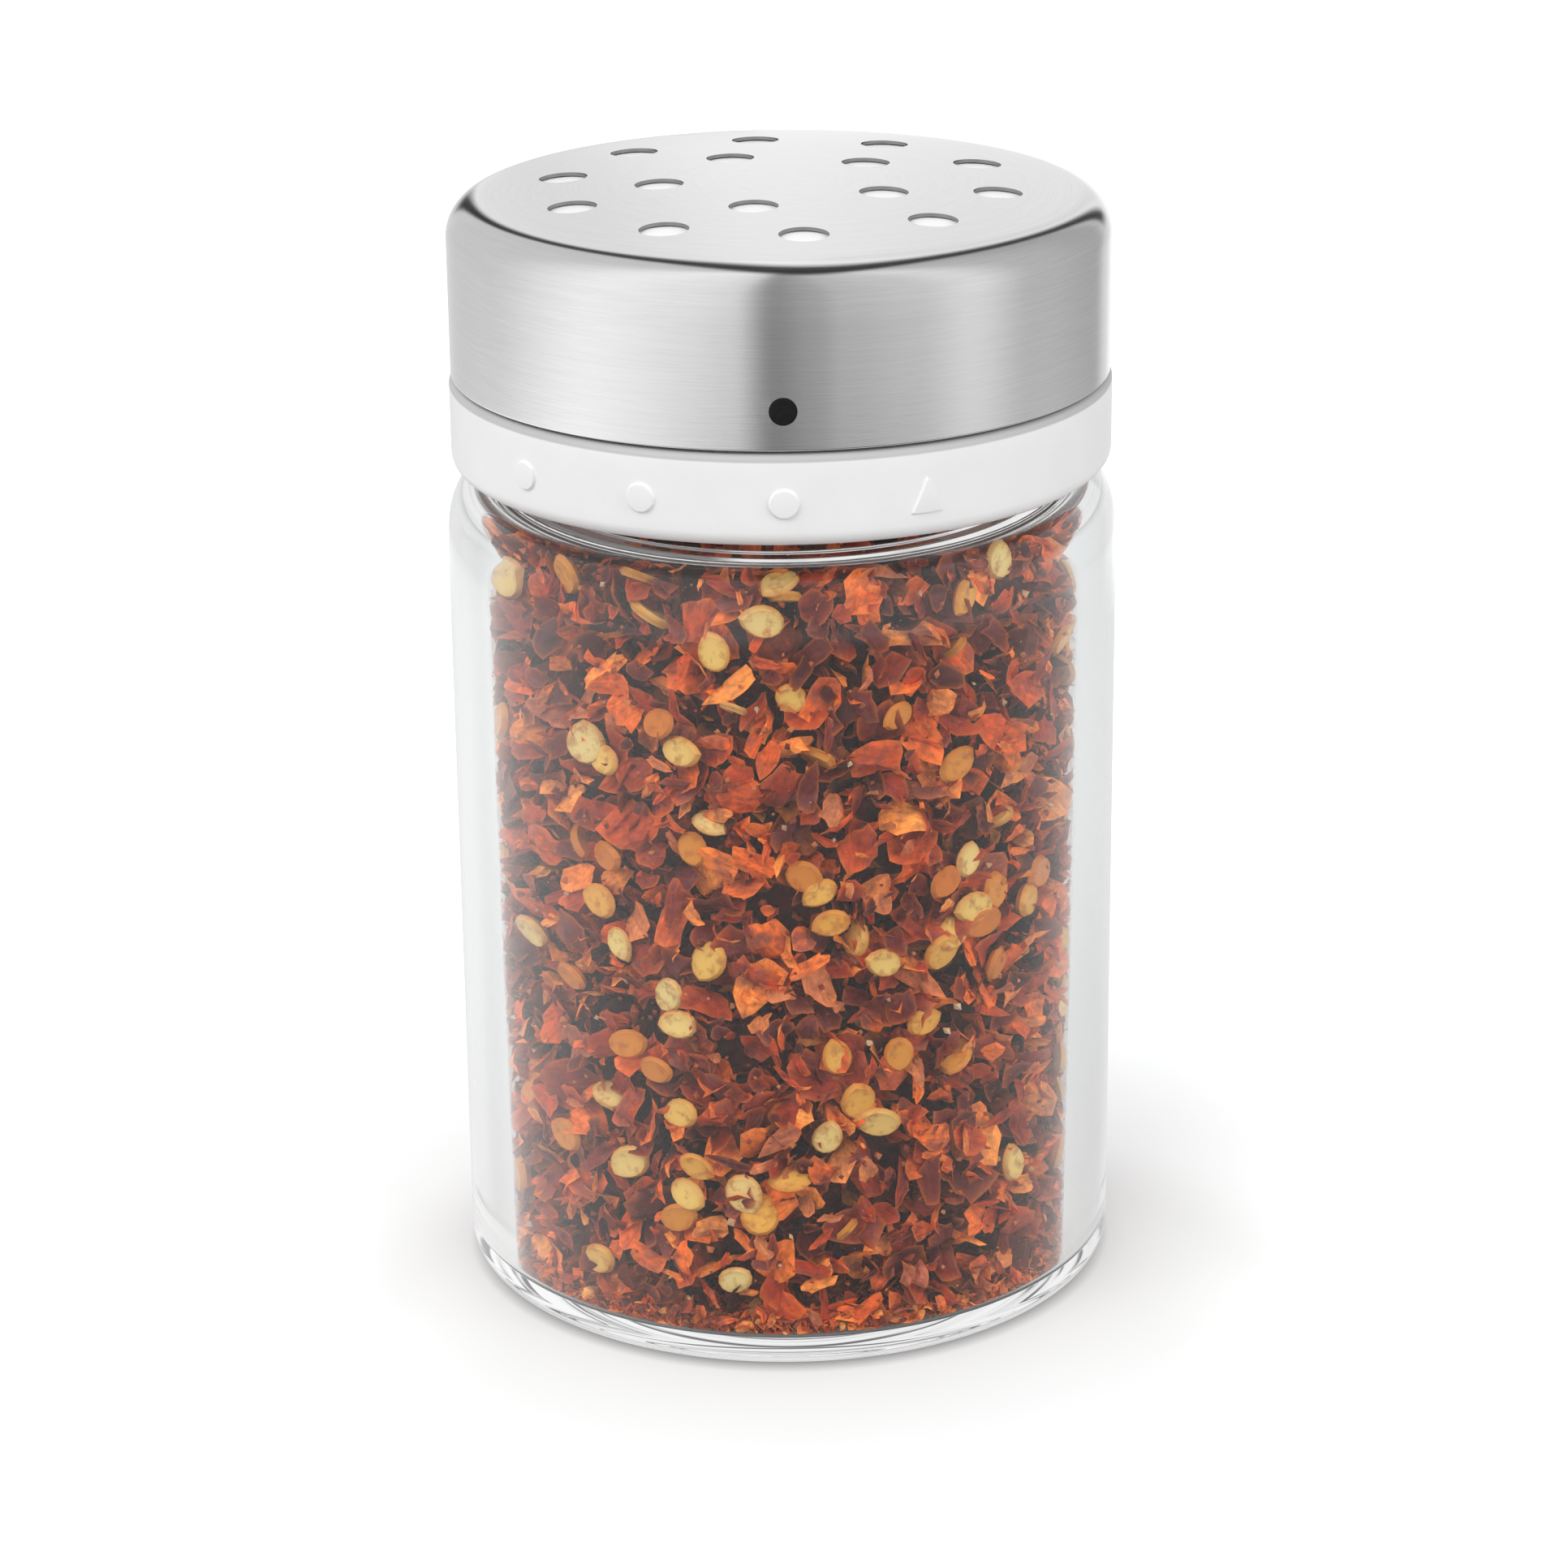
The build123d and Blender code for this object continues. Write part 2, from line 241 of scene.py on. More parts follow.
# Seeds behind the glass. On the front each has degrees round from the pointer and a height in millimetres
seed_sizes = (0.0014, 0.0018)
seed_size_seed = 404
seed_place_seed = 47
seed_sink = 0.0005
seed_clearance = 0.0021
seed_push = 0.0009
flat_lean = (0.0, 0.4)
edge_lean = (1.0, 1.3)
back_seeds = 120
back_turn = (62, 298)
back_margins = (0.004, 0.002)
back_edge_share = 0.2
flat_seeds = (
    (-45, 68.2), (-4, 66.5), (35, 67.0), (-13, 63.9), (1, 60.0), (-24, 57.3), (-40, 54.3), (-20, 55.0),
    (45, 68.8), (33, 52.7), (-36, 53.2), (-18, 46.5), (-37, 40.6), (-33, 37.1), (-15, 36.6), (-45, 32.8),
    (-23, 33.1), (-21, 30.6), (3, 44.3), (6, 42.9), (8, 40.2), (18, 36.1), (31, 42.4), (36, 43.9),
    (43, 40.5), (37, 39.6), (33, 37.7), (39, 38.0), (30, 36.2), (52, 38.4), (56, 40.4), (9, 27.8),
    (26, 30.1), (21, 27.6), (-32, 27.9), (-26, 26.0), (-47, 17.7), (-21, 22.3), (-32, 16.9), (-18, 17.6),
    (-20, 14.8), (-22, 12.4), (-9, 15.3), (7, 20.4), (17, 21.5), (47, 14.5), (-40, 6.7), (-11, 7.0),
    (-6, 13.3), (-59, 20.1), (21, 57.9), (-36, 44.6), (-57, 35.3), (13, 23.6), (43, 33.6),
)
edge_seeds = (
    (-29, 69.1), (-26, 66.3), (-1, 69.4), (0, 68.2), (34, 62.8), (6, 54.4), (-10, 58.9), (-15, 48.7),
    (-37, 22.5), (34, 26.0), (0, 16.4), (13, 38.2), (-43, 45.3), (45, 46.7), (11, 11.3),
)

# Studio that gloss sees: tones by the bearing in degrees from the front, those under a level for the glass
side_tones = (
    (-180, 0.8), (-165, 0.76), (-150, 0.72), (-120, 0.75), (-64, 1.14), (-32, 1.03),
    (-17, 0.92), (-3, 0.33), (12, 0.48), (21, 0.63), (45, 0.74), (68, 0.93),
    (96, 0.6), (140, 0.48), (152, 0.8), (165, 1.1), (180, 1.15),
)
glass_tones = (
    (-180, 0.8), (-120, 1.35), (-85, 1.3), (-50, 0.68), (-25, 0.16),
    (0, 0.03), (40, 0.05), (75, 0.25), (115, 0.55), (180, 0.8),
)
# Heights of a direction over which one part of the studio passes into the next, with tones and gains
steep_z = (-0.62, -0.5)
steep_tone = 0.7
level_z = (-0.305, -0.28)
hem_z = (-0.29, -0.262)
hem_gains = (1.4, 1.0)
rise_z = (-0.06, 0.08)
matt_tones = (0.2, 0.7)
# Bright panel that arches from behind to overhead: tones across it, and from its middle to its rim
panel_x = 0.1
panel_half_width = 0.4
panel_arch = 97.0
panel_edge = (0.98, 1.08)
stripe_tones = ((-0.3, 0.7), (-0.084, 0.82), (0.0, 1.05), (0.08, 0.95), (0.3, 0.85))
rim_tones = ((0.0, 1.0), (0.4, 1.0), (0.6, 1.2), (0.7, 0.65), (0.78, 0.08), (0.95, 0.03))

# Floor: painted shadow in tones by the distance from the jar's axis and in a soft patch in front of it, a
# faint cyan tint against red bounce light, and a cap on the glow seen through glass
floor_half = 3.0
floor_z = -0.00005
paper_shadow_tones = ((0.0, 0.12), (0.0268, 0.15), (0.0292, 0.64), (0.06, 0.66))
glow_shadow_tones = (
    (0.0, 0.05), (0.0268, 0.08), (0.0294, 0.36), (0.031, 0.4), (0.034, 0.43), (0.045, 0.5), (0.08, 0.75),
)
front_shadow_place = (0.004, -0.026, 0.0)
front_shadow_tones = ((0.0, 0.66), (0.026, 0.68), (0.04, 0.8), (0.053, 1.0))
unreddened = (0.965, 1.0, 1.005, 1.0)
glow_through_glass = 0.34

# Lamps: name, place, side and power
lamp_target = Vector((0, 0, 0.05))
lamps = (
    ("key", (-0.5, -0.5, 0.72), 0.7, 5.3),
    ("side", (-0.7, -0.15, 0.3), 0.5, 0.95),
    ("fill", (0.6, -0.4, 0.35), 0.6, 3.2),
)

# Camera: its place, its turn, dip and roll in degrees, and its sensor and lens in millimetres
camera_place = Vector((-0.00233, -0.37612, 0.179))
camera_turns = (0.344, 19.851, -0.606)
camera_sensor = 36.0
camera_lens = 103.36
camera_clip = (0.01, 20.0)


def srgb(red, green, blue):
    """Scene colour of an 8-bit display colour."""
    shares = (channel / 255 for channel in (red, green, blue))
    return (*(((share + 0.055) / 1.055) ** 2.4 for share in shares), 1.0)


def grey(level):
    """Neutral scene colour."""
    return (level, level, level, 1.0)


def shown(name, data):
    """New object in the scene."""
    made = bpy.data.objects.new(name, data)
    bpy.context.scene.collection.objects.link(made)
    return made


# Outlines and turned meshes


def arc(centre, radius, start, end, steps):
    """Points (r, z) on an arc between two angles in degrees."""
    angles = np.radians(np.linspace(start, end, steps + 1))
    return [(centre[0] + radius * cos(a), centre[1] + radius * sin(a)) for a in angles]


def rounded(corners, edge=0.0, steps=6):
    """Points along corners (r, z, round, rows): arcs at the rounds, and rows along the run that follows.

    Corners without a round of their own have the one called edge.
    """
    spots = [Vector(corner[:2]) for corner in corners]
    ends = []
    points = []
    for index, corner in enumerate(corners):
        here = spots[index]
        back = (spots[index - 1] - here).normalized()
        ahead = (spots[(index + 1) % len(spots)] - here).normalized()
        size = corner[2] if len(corner) > 2 else edge
        if size == 0:
            ends.append([here])
            continue
        half = back.angle(ahead) / 2
        centre = here + (back + ahead).normalized() * size / sin(half)
        first = here + back * size / tan(half) - centre
        last = here + ahead * size / tan(half) - centre
        bend = [first.lerp(last, step / steps).normalized() * size + centre for step in range(steps + 1)]
        ends.append(bend)
    for index, corner in enumerate(corners):
        points.extend(ends[index])
        rows = corner[3] if len(corner) > 3 else 1
        start = ends[index][-1]
        stop = ends[(index + 1) % len(ends)][0]
        points.extend(start.lerp(stop, row / rows) for row in range(1, rows))
    return [tuple(point) for point in points]


def evenly(count):
    """Angles of evenly spaced columns."""
    return [2 * pi * index / count for index in range(count)]


def turned(name, outline, angles, shift=None):
    """Closed smooth mesh turned about Z from a closed outline. shift moves a point (r, z) at an angle."""
    rings = []
    points = []
    for radius, height in outline:
        if radius < no_distance:
            rings.append([len(points)] * len(angles))
            points.append((0, 0, height))
            continue
        ring = []
        for angle in angles:
            r, z = shift(radius, height, angle) if shift else (radius, height)
            ring.append(len(points))
            points.append((r * cos(angle), r * sin(angle), z))
        rings.append(ring)
    faces = []
    for index, ring in enumerate(rings):
        above = rings[(index + 1) % len(rings)]
        for column in range(len(angles)):
            beside = (column + 1) % len(angles)
            face = list(dict.fromkeys((ring[column], ring[beside], above[beside], above[column])))
            if len(face) > 2:
                faces.append(face)
    return outward(name, points, faces)


def creased(mesh):
    """The mesh, smooth up to a crease."""
    mesh.shade_smooth()
    mesh.set_sharp_from_angle(angle=radians(crease_angle))
    return mesh


def outward(name, points, faces):
    """Mesh with its doubles merged, its faces turned outwards and its edges smooth up to a crease."""
    mesh = bpy.data.meshes.new(name)
    mesh.from_pydata(points, [], faces)
    shape = bmesh.new()
    shape.from_mesh(mesh)
    bmesh.ops.remove_doubles(shape, verts=shape.verts, dist=merge_distance)
    bmesh.ops.recalc_face_normals(shape, faces=shape.faces)
    shape.to_mesh(mesh)
    shape.free()
    return creased(mesh)


def ring_faces(rings, sides):
    """Faces of a fan round point 0, and of the bands between the rings of points that follow it."""
    faces = [(0, 1 + index, 1 + (index + 1) % sides) for index in range(sides)]
    for ring in range(rings - 1):
        start = 1 + ring * sides
        for index in range(sides):
            after = (index + 1) % sides
            faces.append((start + index, start + sides + index, start + sides + after, start + after))
    return faces


def smoothstep(value):
    """Eased step from 0 to 1."""
    share = min(max(value, 0.0), 1.0)
    return share * share * (3 - 2 * share)


def turn_between(angle, other):
    """Shorter turn from another angle to this one."""
    return (angle - other + pi) % (2 * pi) - pi


def thread_ridge(z, angle, start_z):
    """Height share of a right-hand thread's ridge at a place on a wall."""
    turn = angle / (2 * pi)
    lap = round((z - start_z) / thread_lead - turn)
    along = lap + turn
    away = abs(z - start_z - along * thread_lead)
    ends = min(along, thread_turns - along) / thread_run_out
    return smoothstep(2 * (1 - away / thread_half_width)) * smoothstep(ends)


# Node trees

shader_prefix = "ShaderNode"


def add(tree, kind, inputs=None, **settings):
    """New node, of a shader kind unless a full one is given: settings first, then values or links."""
    made = tree.nodes.new(kind if "Node" in kind else shader_prefix + kind)
    for name, value in settings.items():
        setattr(made, name, value)
    for name, value in (inputs or {}).items():
        if isinstance(value, bpy.types.NodeSocket):
            tree.links.new(value, made.inputs[name])
        else:
            made.inputs[name].default_value = value
    return made


def result(tree, kind, inputs=None, **settings):
    """First output of a new node."""
    return add(tree, kind, inputs, **settings).outputs[0]


def maths(tree, operation, first, second=0.0):
    """Result of a Math node."""
    return result(tree, "Math", {0: first, 1: second}, operation=operation)


def times(tree, first, second):
    """Product of two values."""
    return maths(tree, "MULTIPLY", first, second)


def mapped(tree, value, span, goal=(0.0, 1.0)):
    """Value carried from one span into another, and held at its ends."""
    inputs = {"Value": value, "From Min": span[0], "From Max": span[1], "To Min": goal[0], "To Max": goal[1]}
    return result(tree, "MapRange", inputs)


def joined(tree, x=0.0, y=0.0, z=0.0):
    """Vector of three parts."""
    return result(tree, "CombineXYZ", {"X": x, "Y": y, "Z": z})


def parts(tree, vector):
    """The three parts of a vector."""
    return add(tree, "SeparateXYZ", {0: vector}).outputs


def distance(tree, place, origin=(0.0, 0.0, 0.0)):
    """Distance of a place from an origin."""
    return add(tree, "VectorMath", {0: place, 1: origin}, operation="DISTANCE").outputs["Value"]


def ramp(tree, factor, stops, interpolation="LINEAR"):
    """Colour along a ramp of stops (place, colour)."""
    made = add(tree, "ValToRGB", {"Fac": factor})
    made.color_ramp.interpolation = interpolation
    marks = made.color_ramp.elements
    while len(marks) < len(stops):
        marks.new(1.0)
    for mark, (place, colour) in zip(marks, stops, strict=True):
        mark.position = place
        mark.color = colour
    return made.outputs["Color"]


def colours(tree, factor, stops):
    """Colour along a ramp of stops (place, red, green, blue) in display colours."""
    return ramp(tree, factor, [(place, srgb(*colour)) for place, *colour in stops])


def tones(tree, factor, stops, interpolation="LINEAR"):
    """Grey along a ramp of stops (place, level)."""
    return ramp(tree, factor, [(place, grey(level)) for place, level in stops], interpolation)


def toned(tree, value, stops, interpolation="EASE"):
    """Grey that follows a value through stops (value, level)."""
    low, high = stops[0][0], stops[-1][0]
    shares = [((place - low) / (high - low), level) for place, level in stops]
    return tones(tree, mapped(tree, value, (low, high)), shares, interpolation)


def mixed(tree, share, first, second, blend="MIX"):
    """Colour mixed from two."""
    inputs = {0: share, 6: first, 7: second}
    return add(tree, "Mix", inputs, data_type="RGBA", blend_type=blend).outputs[2]


def tinted(tree, colour, tint):
    """Product of two colours."""
    return mixed(tree, 1.0, colour, tint, "MULTIPLY")


def emptied(owner):
    """Empty node tree of a material or world."""
    owner.use_nodes = True
    owner.node_tree.nodes.clear()
    return owner.node_tree


def object_place(tree):
    """Object coordinates."""
    return add(tree, "TexCoord").outputs["Object"]


def light_path(tree):
    """What is known of a ray, and whether the eye sees along it, straight or through glass."""
    path = add(tree, "LightPath").outputs
    return path, maths(tree, "MAXIMUM", path["Is Camera Ray"], path["Is Transmission Ray"])


def read(tree, name, output="Fac"):
    """Value of a piece's own attribute."""
    return add(tree, "Attribute", attribute_name=name).outputs[output]


def noise(tree, place, scale, detail=3.0, roughness=0.55):
    """Grey noise at a place."""
    inputs = {"Vector": place, "Scale": scale, "Detail": detail, "Roughness": roughness}
    return add(tree, "TexNoise", inputs).outputs["Fac"]


def bumped(tree, height, depth, strength=1.0):
    """Normal bent by a height."""
    return result(tree, "Bump", {"Height": height, "Distance": depth, "Strength": strength})


# Finishes


def clear_glass():
    """Colourless glass that lets lamplight through to the flakes; after a few reflections inside it glows
    streaky grey instead, painted light that stands in for light carried far round its base.
    """
    long_way = 2.5
    material = bpy.data.materials.new("clear_glass")
    tree = emptied(material)
    path = add(tree, "LightPath").outputs
    body = {"Base Color": (0.85, 0.856, 0.853, 1.0), "Roughness": 0.0, "IOR": 1.5, "Transmission Weight": 1.0}
    surface = result(tree, "BsdfPrincipled", body)
    x, y, _ = parts(tree, object_place(tree))
    radius = distance(tree, joined(tree, x, y))
    drawn_out = joined(tree, times(tree, x, 35.0), times(tree, y, 35.0), times(tree, radius, 1500.0))
    streaks = noise(tree, drawn_out, 1.0, 2.0)
    carried = tones(tree, streaks, ((0.4, 0.2), (0.47, 0.85), (0.6, 1.0)))
    # Painted light: a streaky glow for rays that have reflected more than twice inside the glass.
    painted_far_light = result(tree, "Emission", {"Color": carried})
    open_air = result(tree, "BsdfTransparent")
    for share, other in (
        (maths(tree, "GREATER_THAN", path["Glossy Depth"], long_way), painted_far_light),
        (path["Is Diffuse Ray"], open_air),
        (path["Is Shadow Ray"], open_air),
    ):
        surface = result(tree, "MixShader", {0: share, 1: surface, 2: other})
    add(tree, "OutputMaterial", {"Surface": surface})
    return material


def white_plastic(tree, pale, shaded_z=None):
    """Moulded white plastic with a fine satin grain, and painted shade from the edge just under a height on
    upwards, where the cap above shades it.
    """
    shade_edge = (0.0007, 0.00055)
    shade_tones = (1.0, 0.58)
    place = object_place(tree)
    cloud = noise(tree, place, 220.0)
    grain = noise(tree, place, 9000.0, 2.0)
    colour = tones(tree, cloud, ((0.3, pale - 0.025), (0.7, pale)))
    # Painted shade: the colour darkens from just under the height up, standing in for the cap's shade on the
    # collar's top edge.
    if shaded_z:
        edge = [shaded_z - below for below in shade_edge]
        colour = tinted(tree, colour, mapped(tree, parts(tree, place)[2], edge, shade_tones))
    return {
        "Base Color": colour,
        "Roughness": mapped(tree, cloud, (0.0, 1.0), (0.34, 0.44)),
        "Normal": bumped(tree, grain, 0.000004),
        "IOR": 1.46,
    }


def black_plastic(tree):
    """Flat black of the pointer."""
    cloud = noise(tree, object_place(tree), 2500.0)
    return {
        "Base Color": tones(tree, cloud, ((0.3, 0.006), (0.7, 0.011))),
        "Roughness": 0.6,
        "Normal": bumped(tree, cloud, 0.000006),
        "Specular IOR Level": 0.2,
    }


def seal_silicone(tree):
    """Milky silicone of the rim seal."""
    cloud = noise(tree, object_place(tree), 400.0)
    colour = ramp(tree, cloud, ((0.3, (0.72, 0.73, 0.72, 1.0)), (0.7, (0.8, 0.8, 0.79, 1.0))))
    return {"Base Color": colour, "Roughness": 0.55, "Normal": bumped(tree, cloud, 0.00002)}


def brushed_steel(tree):
    """Steel brushed round its axis: fine streaks that follow the turn, and a sheen across them."""
    upright = (0.3, 0.7)
    cut_tone = 0.28
    x, y, z = parts(tree, object_place(tree))
    flat = joined(tree, x, y)
    radius = distance(tree, flat)
    turn_x, turn_y, _ = parts(tree, result(tree, "VectorMath", {0: flat}, operation="NORMALIZE"))

    def streaks(along, across):
        """Noise drawn out along the brushing."""
        place = times(tree, turn_x, along), times(tree, turn_y, along), times(tree, z, across)
        inputs = {
            "Vector": joined(tree, *place),
            "W": times(tree, radius, across),
            "Scale": 1.0,
            "Detail": 2.0,
            "Roughness": 0.6,
        }
        return add(tree, "TexNoise", inputs, noise_dimensions="4D").outputs["Fac"]

    fine = streaks(9.0, 12000.0)
    broad = streaks(3.0, 3200.0)
    both = maths(tree, "ADD", times(tree, fine, 0.6), times(tree, broad, 0.4))
    colour = tones(tree, both, ((0.3, 0.69), (0.7, 0.77)))
    facing = parts(tree, add(tree, "TexCoord").outputs["Normal"])[2]
    inside = maths(tree, "LESS_THAN", radius, cap_radius - cap_round)
    cut_edge = times(tree, mapped(tree, facing, upright, (1.0, 0.0)), inside)
    return {
        "Base Color": mixed(tree, cut_edge, colour, grey(cut_tone)),
        "Metallic": 1.0,
        "Roughness": mapped(tree, both, (0.0, 1.0), (0.12, 0.17)),
        "Anisotropic": 0.3,
        "Anisotropic Rotation": 0.25,
        "Tangent": result(tree, "Tangent", direction_type="RADIAL", axis="Z"),
        "Normal": bumped(tree, fine, 0.0000015),
    }


def dried_chilli(tree, light):
    """Dried chilli skin: each flake has its own tone, dusky patches, a paler inner side and orange edges; its
    colour is scaled by a light level, painted light or painted shade.
    """
    skin_colours = (
        (0.0, 52, 14, 12), (0.2, 100, 28, 18), (0.42, 148, 48, 22), (0.6, 190, 74, 28),
        (0.76, 222, 104, 38), (0.9, 242, 148, 66), (1.0, 160, 84, 66),
    )
    lining_colours = ((0.0, 156, 62, 26), (0.4, 206, 98, 36), (0.75, 230, 136, 56), (1.0, 240, 172, 88))
    hue_spread = 977.0
    vein_stretch = (1.6, 7.0, 3.0)
    place = object_place(tree)
    tone = read(tree, "tone")
    spread = {"W": times(tree, tone, hue_spread)}
    own = add(tree, "TexWhiteNoise", spread, noise_dimensions="1D").outputs["Color"]
    lining_share, dusky_share, _ = parts(tree, own)
    cloud = noise(tree, place, 1300.0, 5.0, 0.65)
    local = {"Vector": read(tree, "flake_place", "Vector"), "Scale": vein_stretch}
    veins = noise(tree, result(tree, "Mapping", local), 1.0, 4.0, 0.65)
    skin = colours(tree, tone, skin_colours)
    lining = colours(tree, lining_share, lining_colours)
    colour = mixed(tree, read(tree, "inner_side"), skin, lining)
    dusky = tones(tree, noise(tree, place, 420.0), ((0.44, 0.0), (0.6, 1.0)))
    dusky = times(tree, dusky, times(tree, dusky_share, 0.9))
    colour = mixed(tree, dusky, colour, srgb(112, 60, 58))
    colour = tinted(tree, colour, tones(tree, cloud, ((0.25, 0.45), (0.5, 1.0), (0.75, 1.5))))
    lines = tones(tree, veins, ((0.35, 0.65), (0.58, 1.1)))
    colour = mixed(tree, 0.8, colour, lines, "MULTIPLY")
    edge = times(tree, maths(tree, "POWER", read(tree, "rim"), 6.0), 0.3)
    colour = mixed(tree, edge, colour, srgb(236, 124, 40))
    height = maths(tree, "ADD", times(tree, veins, 0.7), times(tree, cloud, 0.5))
    return {
        # Painted light or shade: the colour scaled by the light level.
        "Base Color": tinted(tree, colour, grey(light)),
        "Roughness": 0.42,
        "Specular IOR Level": 0.2,
        "Normal": bumped(tree, height, 0.0002, 0.9),
    }


def chilli_seed(tree):
    """Pale yellow seed with a browner rim and some stain."""
    body_colours = ((0.0, 224, 122, 40), (0.25, 246, 170, 64), (0.6, 254, 206, 104), (1.0, 255, 228, 150))
    cloud = noise(tree, object_place(tree), 1100.0, 4.0, 0.6)
    body = colours(tree, read(tree, "tone"), body_colours)
    stain = times(tree, tones(tree, cloud, ((0.5, 0.0), (0.66, 1.0))), 0.6)
    colour = mixed(tree, stain, body, srgb(178, 92, 38))
    edge = times(tree, maths(tree, "POWER", read(tree, "rim"), 4.0), 0.75)
    return {
        "Base Color": mixed(tree, edge, colour, srgb(206, 116, 30)),
        "Roughness": 0.35,
        "Specular IOR Level": 0.4,
        "Normal": bumped(tree, cloud, 0.00008, 0.6),
    }


def chilli_crumb(tree):
    """Small broken bits, from brick red to pale dust."""
    body_colours = ((0.0, 110, 40, 26), (0.5, 170, 72, 38), (0.85, 212, 130, 66), (1.0, 232, 200, 160))
    shade = tones(tree, noise(tree, object_place(tree), 2600.0), ((0.3, 0.75), (0.7, 1.15)))
    body = colours(tree, read(tree, "tone"), body_colours)
    return {"Base Color": tinted(tree, body, shade), "Roughness": 0.6}


def dark_heart(tree):
    """Painted shade: the mass of flakes deep in the jar, coloured dark as unlit flakes."""
    cloud = noise(tree, object_place(tree), 700.0, 5.0, 0.7)
    colour = colours(tree, cloud, ((0.35, 50, 13, 8), (0.65, 98, 30, 16)))
    return {"Base Color": colour, "Roughness": 0.7, "Normal": bumped(tree, cloud, 0.0006)}


def coated(make, *choices, name=None):
    """Material whose shader has the inputs that make gives for its tree."""
    material = bpy.data.materials.new(name or make.__name__)
    tree = emptied(material)
    shader = result(tree, "BsdfPrincipled", make(tree, *choices))
    add(tree, "OutputMaterial", {"Surface": shader})
    return material


finish = {
    "glass": clear_glass(),
    # Brighter than the collar's plastic, so that the disc in the shade under the holes shows near white:
    # painted light.
    "plastic": coated(white_plastic, 0.96),
    # The collar's plastic carries painted shade under the cap, from the deck height up.
    "collar": coated(white_plastic, 0.885, deck_z, name="collar_plastic"),
    "pointer": coated(black_plastic),
    "seal": coated(seal_silicone),
    "steel": coated(brushed_steel),
    # Lit and shaded copies of the chilli finish: painted light raises the front flakes' colour, painted shade
    # lowers the deep flakes'.
    "flake": coated(dried_chilli, 1.5),
    "deep_flake": coated(dried_chilli, 0.5, name="shaded_chilli"),
    "seed": coated(chilli_seed),
    "crumb": coated(chilli_crumb),
    "heart": coated(dark_heart),
}


def piece(name, mesh, body, node, material):
    """Object of the shaker that rides on a body in place of a node."""
    mesh.name = name
    mesh.materials.clear()
    mesh.materials.append(finish[material])
    made = shown(name, mesh)
    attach(made, body)
    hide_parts(node)
    return made


# Geometry node trees


def new_tree(name, inputs):
    """Geometry tree, and its inputs by name, each of a socket type."""
    tree = bpy.data.node_groups.new(name, "GeometryNodeTree")
    for label, kind in {"Geometry": "Geometry", **inputs}.items():
        tree.interface.new_socket(label, in_out="INPUT", socket_type="NodeSocket" + kind)
    tree.interface.new_socket("Geometry", in_out="OUTPUT", socket_type="NodeSocketGeometry")
    return tree, add(tree, "NodeGroupInput").outputs


def end_tree(tree, geometry, material):
    """Last part of a tree: plain geometry with its material."""
    loose = result(tree, "GeometryNodeRealizeInstances", {"Geometry": geometry})
    dressed = result(tree, "GeometryNodeSetMaterial", {"Geometry": loose, "Material": material})
    add(tree, "NodeGroupOutput", {"Geometry": dressed})


def grown(tree, host, values):
    """Plain mesh that a tree makes from a host mesh, with its named inputs set first."""
    holder = shown("holder", host)
    modifier = holder.modifiers.new("growth", "NODES")
    modifier.node_group = tree
    for item in tree.interface.items_tree:
        if item.in_out == "INPUT" and item.name in values:
            modifier[item.identifier] = values[item.name]
    graph = bpy.context.evaluated_depsgraph_get()
    mesh = bpy.data.meshes.new_from_object(
        holder.evaluated_get(graph), preserve_all_data_layers=True, depsgraph=graph
    )
    holder.modifiers.remove(modifier)
    bpy.data.objects.remove(holder)
    return mesh


def punched_ring():
    """Tree that cuts a ring of round holes through a plate."""
    sizes = dict.fromkeys(("Ring Radius", "Turn", "Hole Radius", "Height", "Depth"), "Float")
    tree, given = new_tree("punched_ring", {"Holes": "Int", **sizes, "Finish": "Material"})
    circle = {"Vertices": given["Holes"], "Radius": given["Ring Radius"]}
    place = {
        "Geometry": result(tree, "GeometryNodeMeshCircle", circle),
        "Translation": joined(tree, z=given["Height"]),
        "Rotation": joined(tree, z=given["Turn"]),
    }
    peg = {"Vertices": hole_sides, "Radius": given["Hole Radius"], "Depth": given["Depth"]}
    pegs = {
        "Points": result(tree, "GeometryNodeTransform", place),
        "Instance": result(tree, "GeometryNodeMeshCylinder", peg),
    }
    loose = {"Geometry": result(tree, "GeometryNodeInstanceOnPoints", pegs)}
    both = {"Mesh 1": given["Geometry"], "Mesh 2": result(tree, "GeometryNodeRealizeInstances", loose)}
    cut = result(tree, "GeometryNodeMeshBoolean", both, operation="DIFFERENCE", solver="MANIFOLD")
    end_tree(tree, cut, given["Finish"])
    return tree


bit_inputs = {
    "Shapes": "Collection", "Smallest": "Float", "Largest": "Float", "Seed": "Int", "Finish": "Material",
}


def drawn(tree, given, kind, low, high, step):
    """Random value of a kind, with a seed of its own."""
    first = {"FLOAT_VECTOR": 0, "FLOAT": 2}[kind]
    inputs = {first: low, first + 1: high, "Seed": maths(tree, "ADD", given["Seed"], float(step))}
    return add(tree, "FunctionNodeRandomValue", inputs, data_type=kind).outputs[first // 2]


def set_bits(tree, given, points, turn):
    """Last part of a tree: a shape on each point, with its own size, tone and number."""
    shapes = {"Collection": given["Shapes"], "Separate Children": True, "Reset Children": True}
    bits = {
        "Points": points,
        "Instance": result(tree, "GeometryNodeCollectionInfo", shapes),
        "Pick Instance": True,
        "Rotation": turn,
        "Scale": drawn(tree, given, "FLOAT", given["Smallest"], given["Largest"], 3),
    }
    placed = result(tree, "GeometryNodeInstanceOnPoints", bits)
    tone = drawn(tree, given, "FLOAT", 0.0, 1.0, 4)
    number = result(tree, "GeometryNodeInputIndex")
    for label, kind, value in (("tone", "FLOAT", tone), ("bit", "INT", number)):
        mark = {"Geometry": placed, "Name": label, "Value": value}
        placed = result(tree, "GeometryNodeStoreNamedAttribute", mark, data_type=kind, domain="INSTANCE")
    end_tree(tree, placed, given["Finish"])


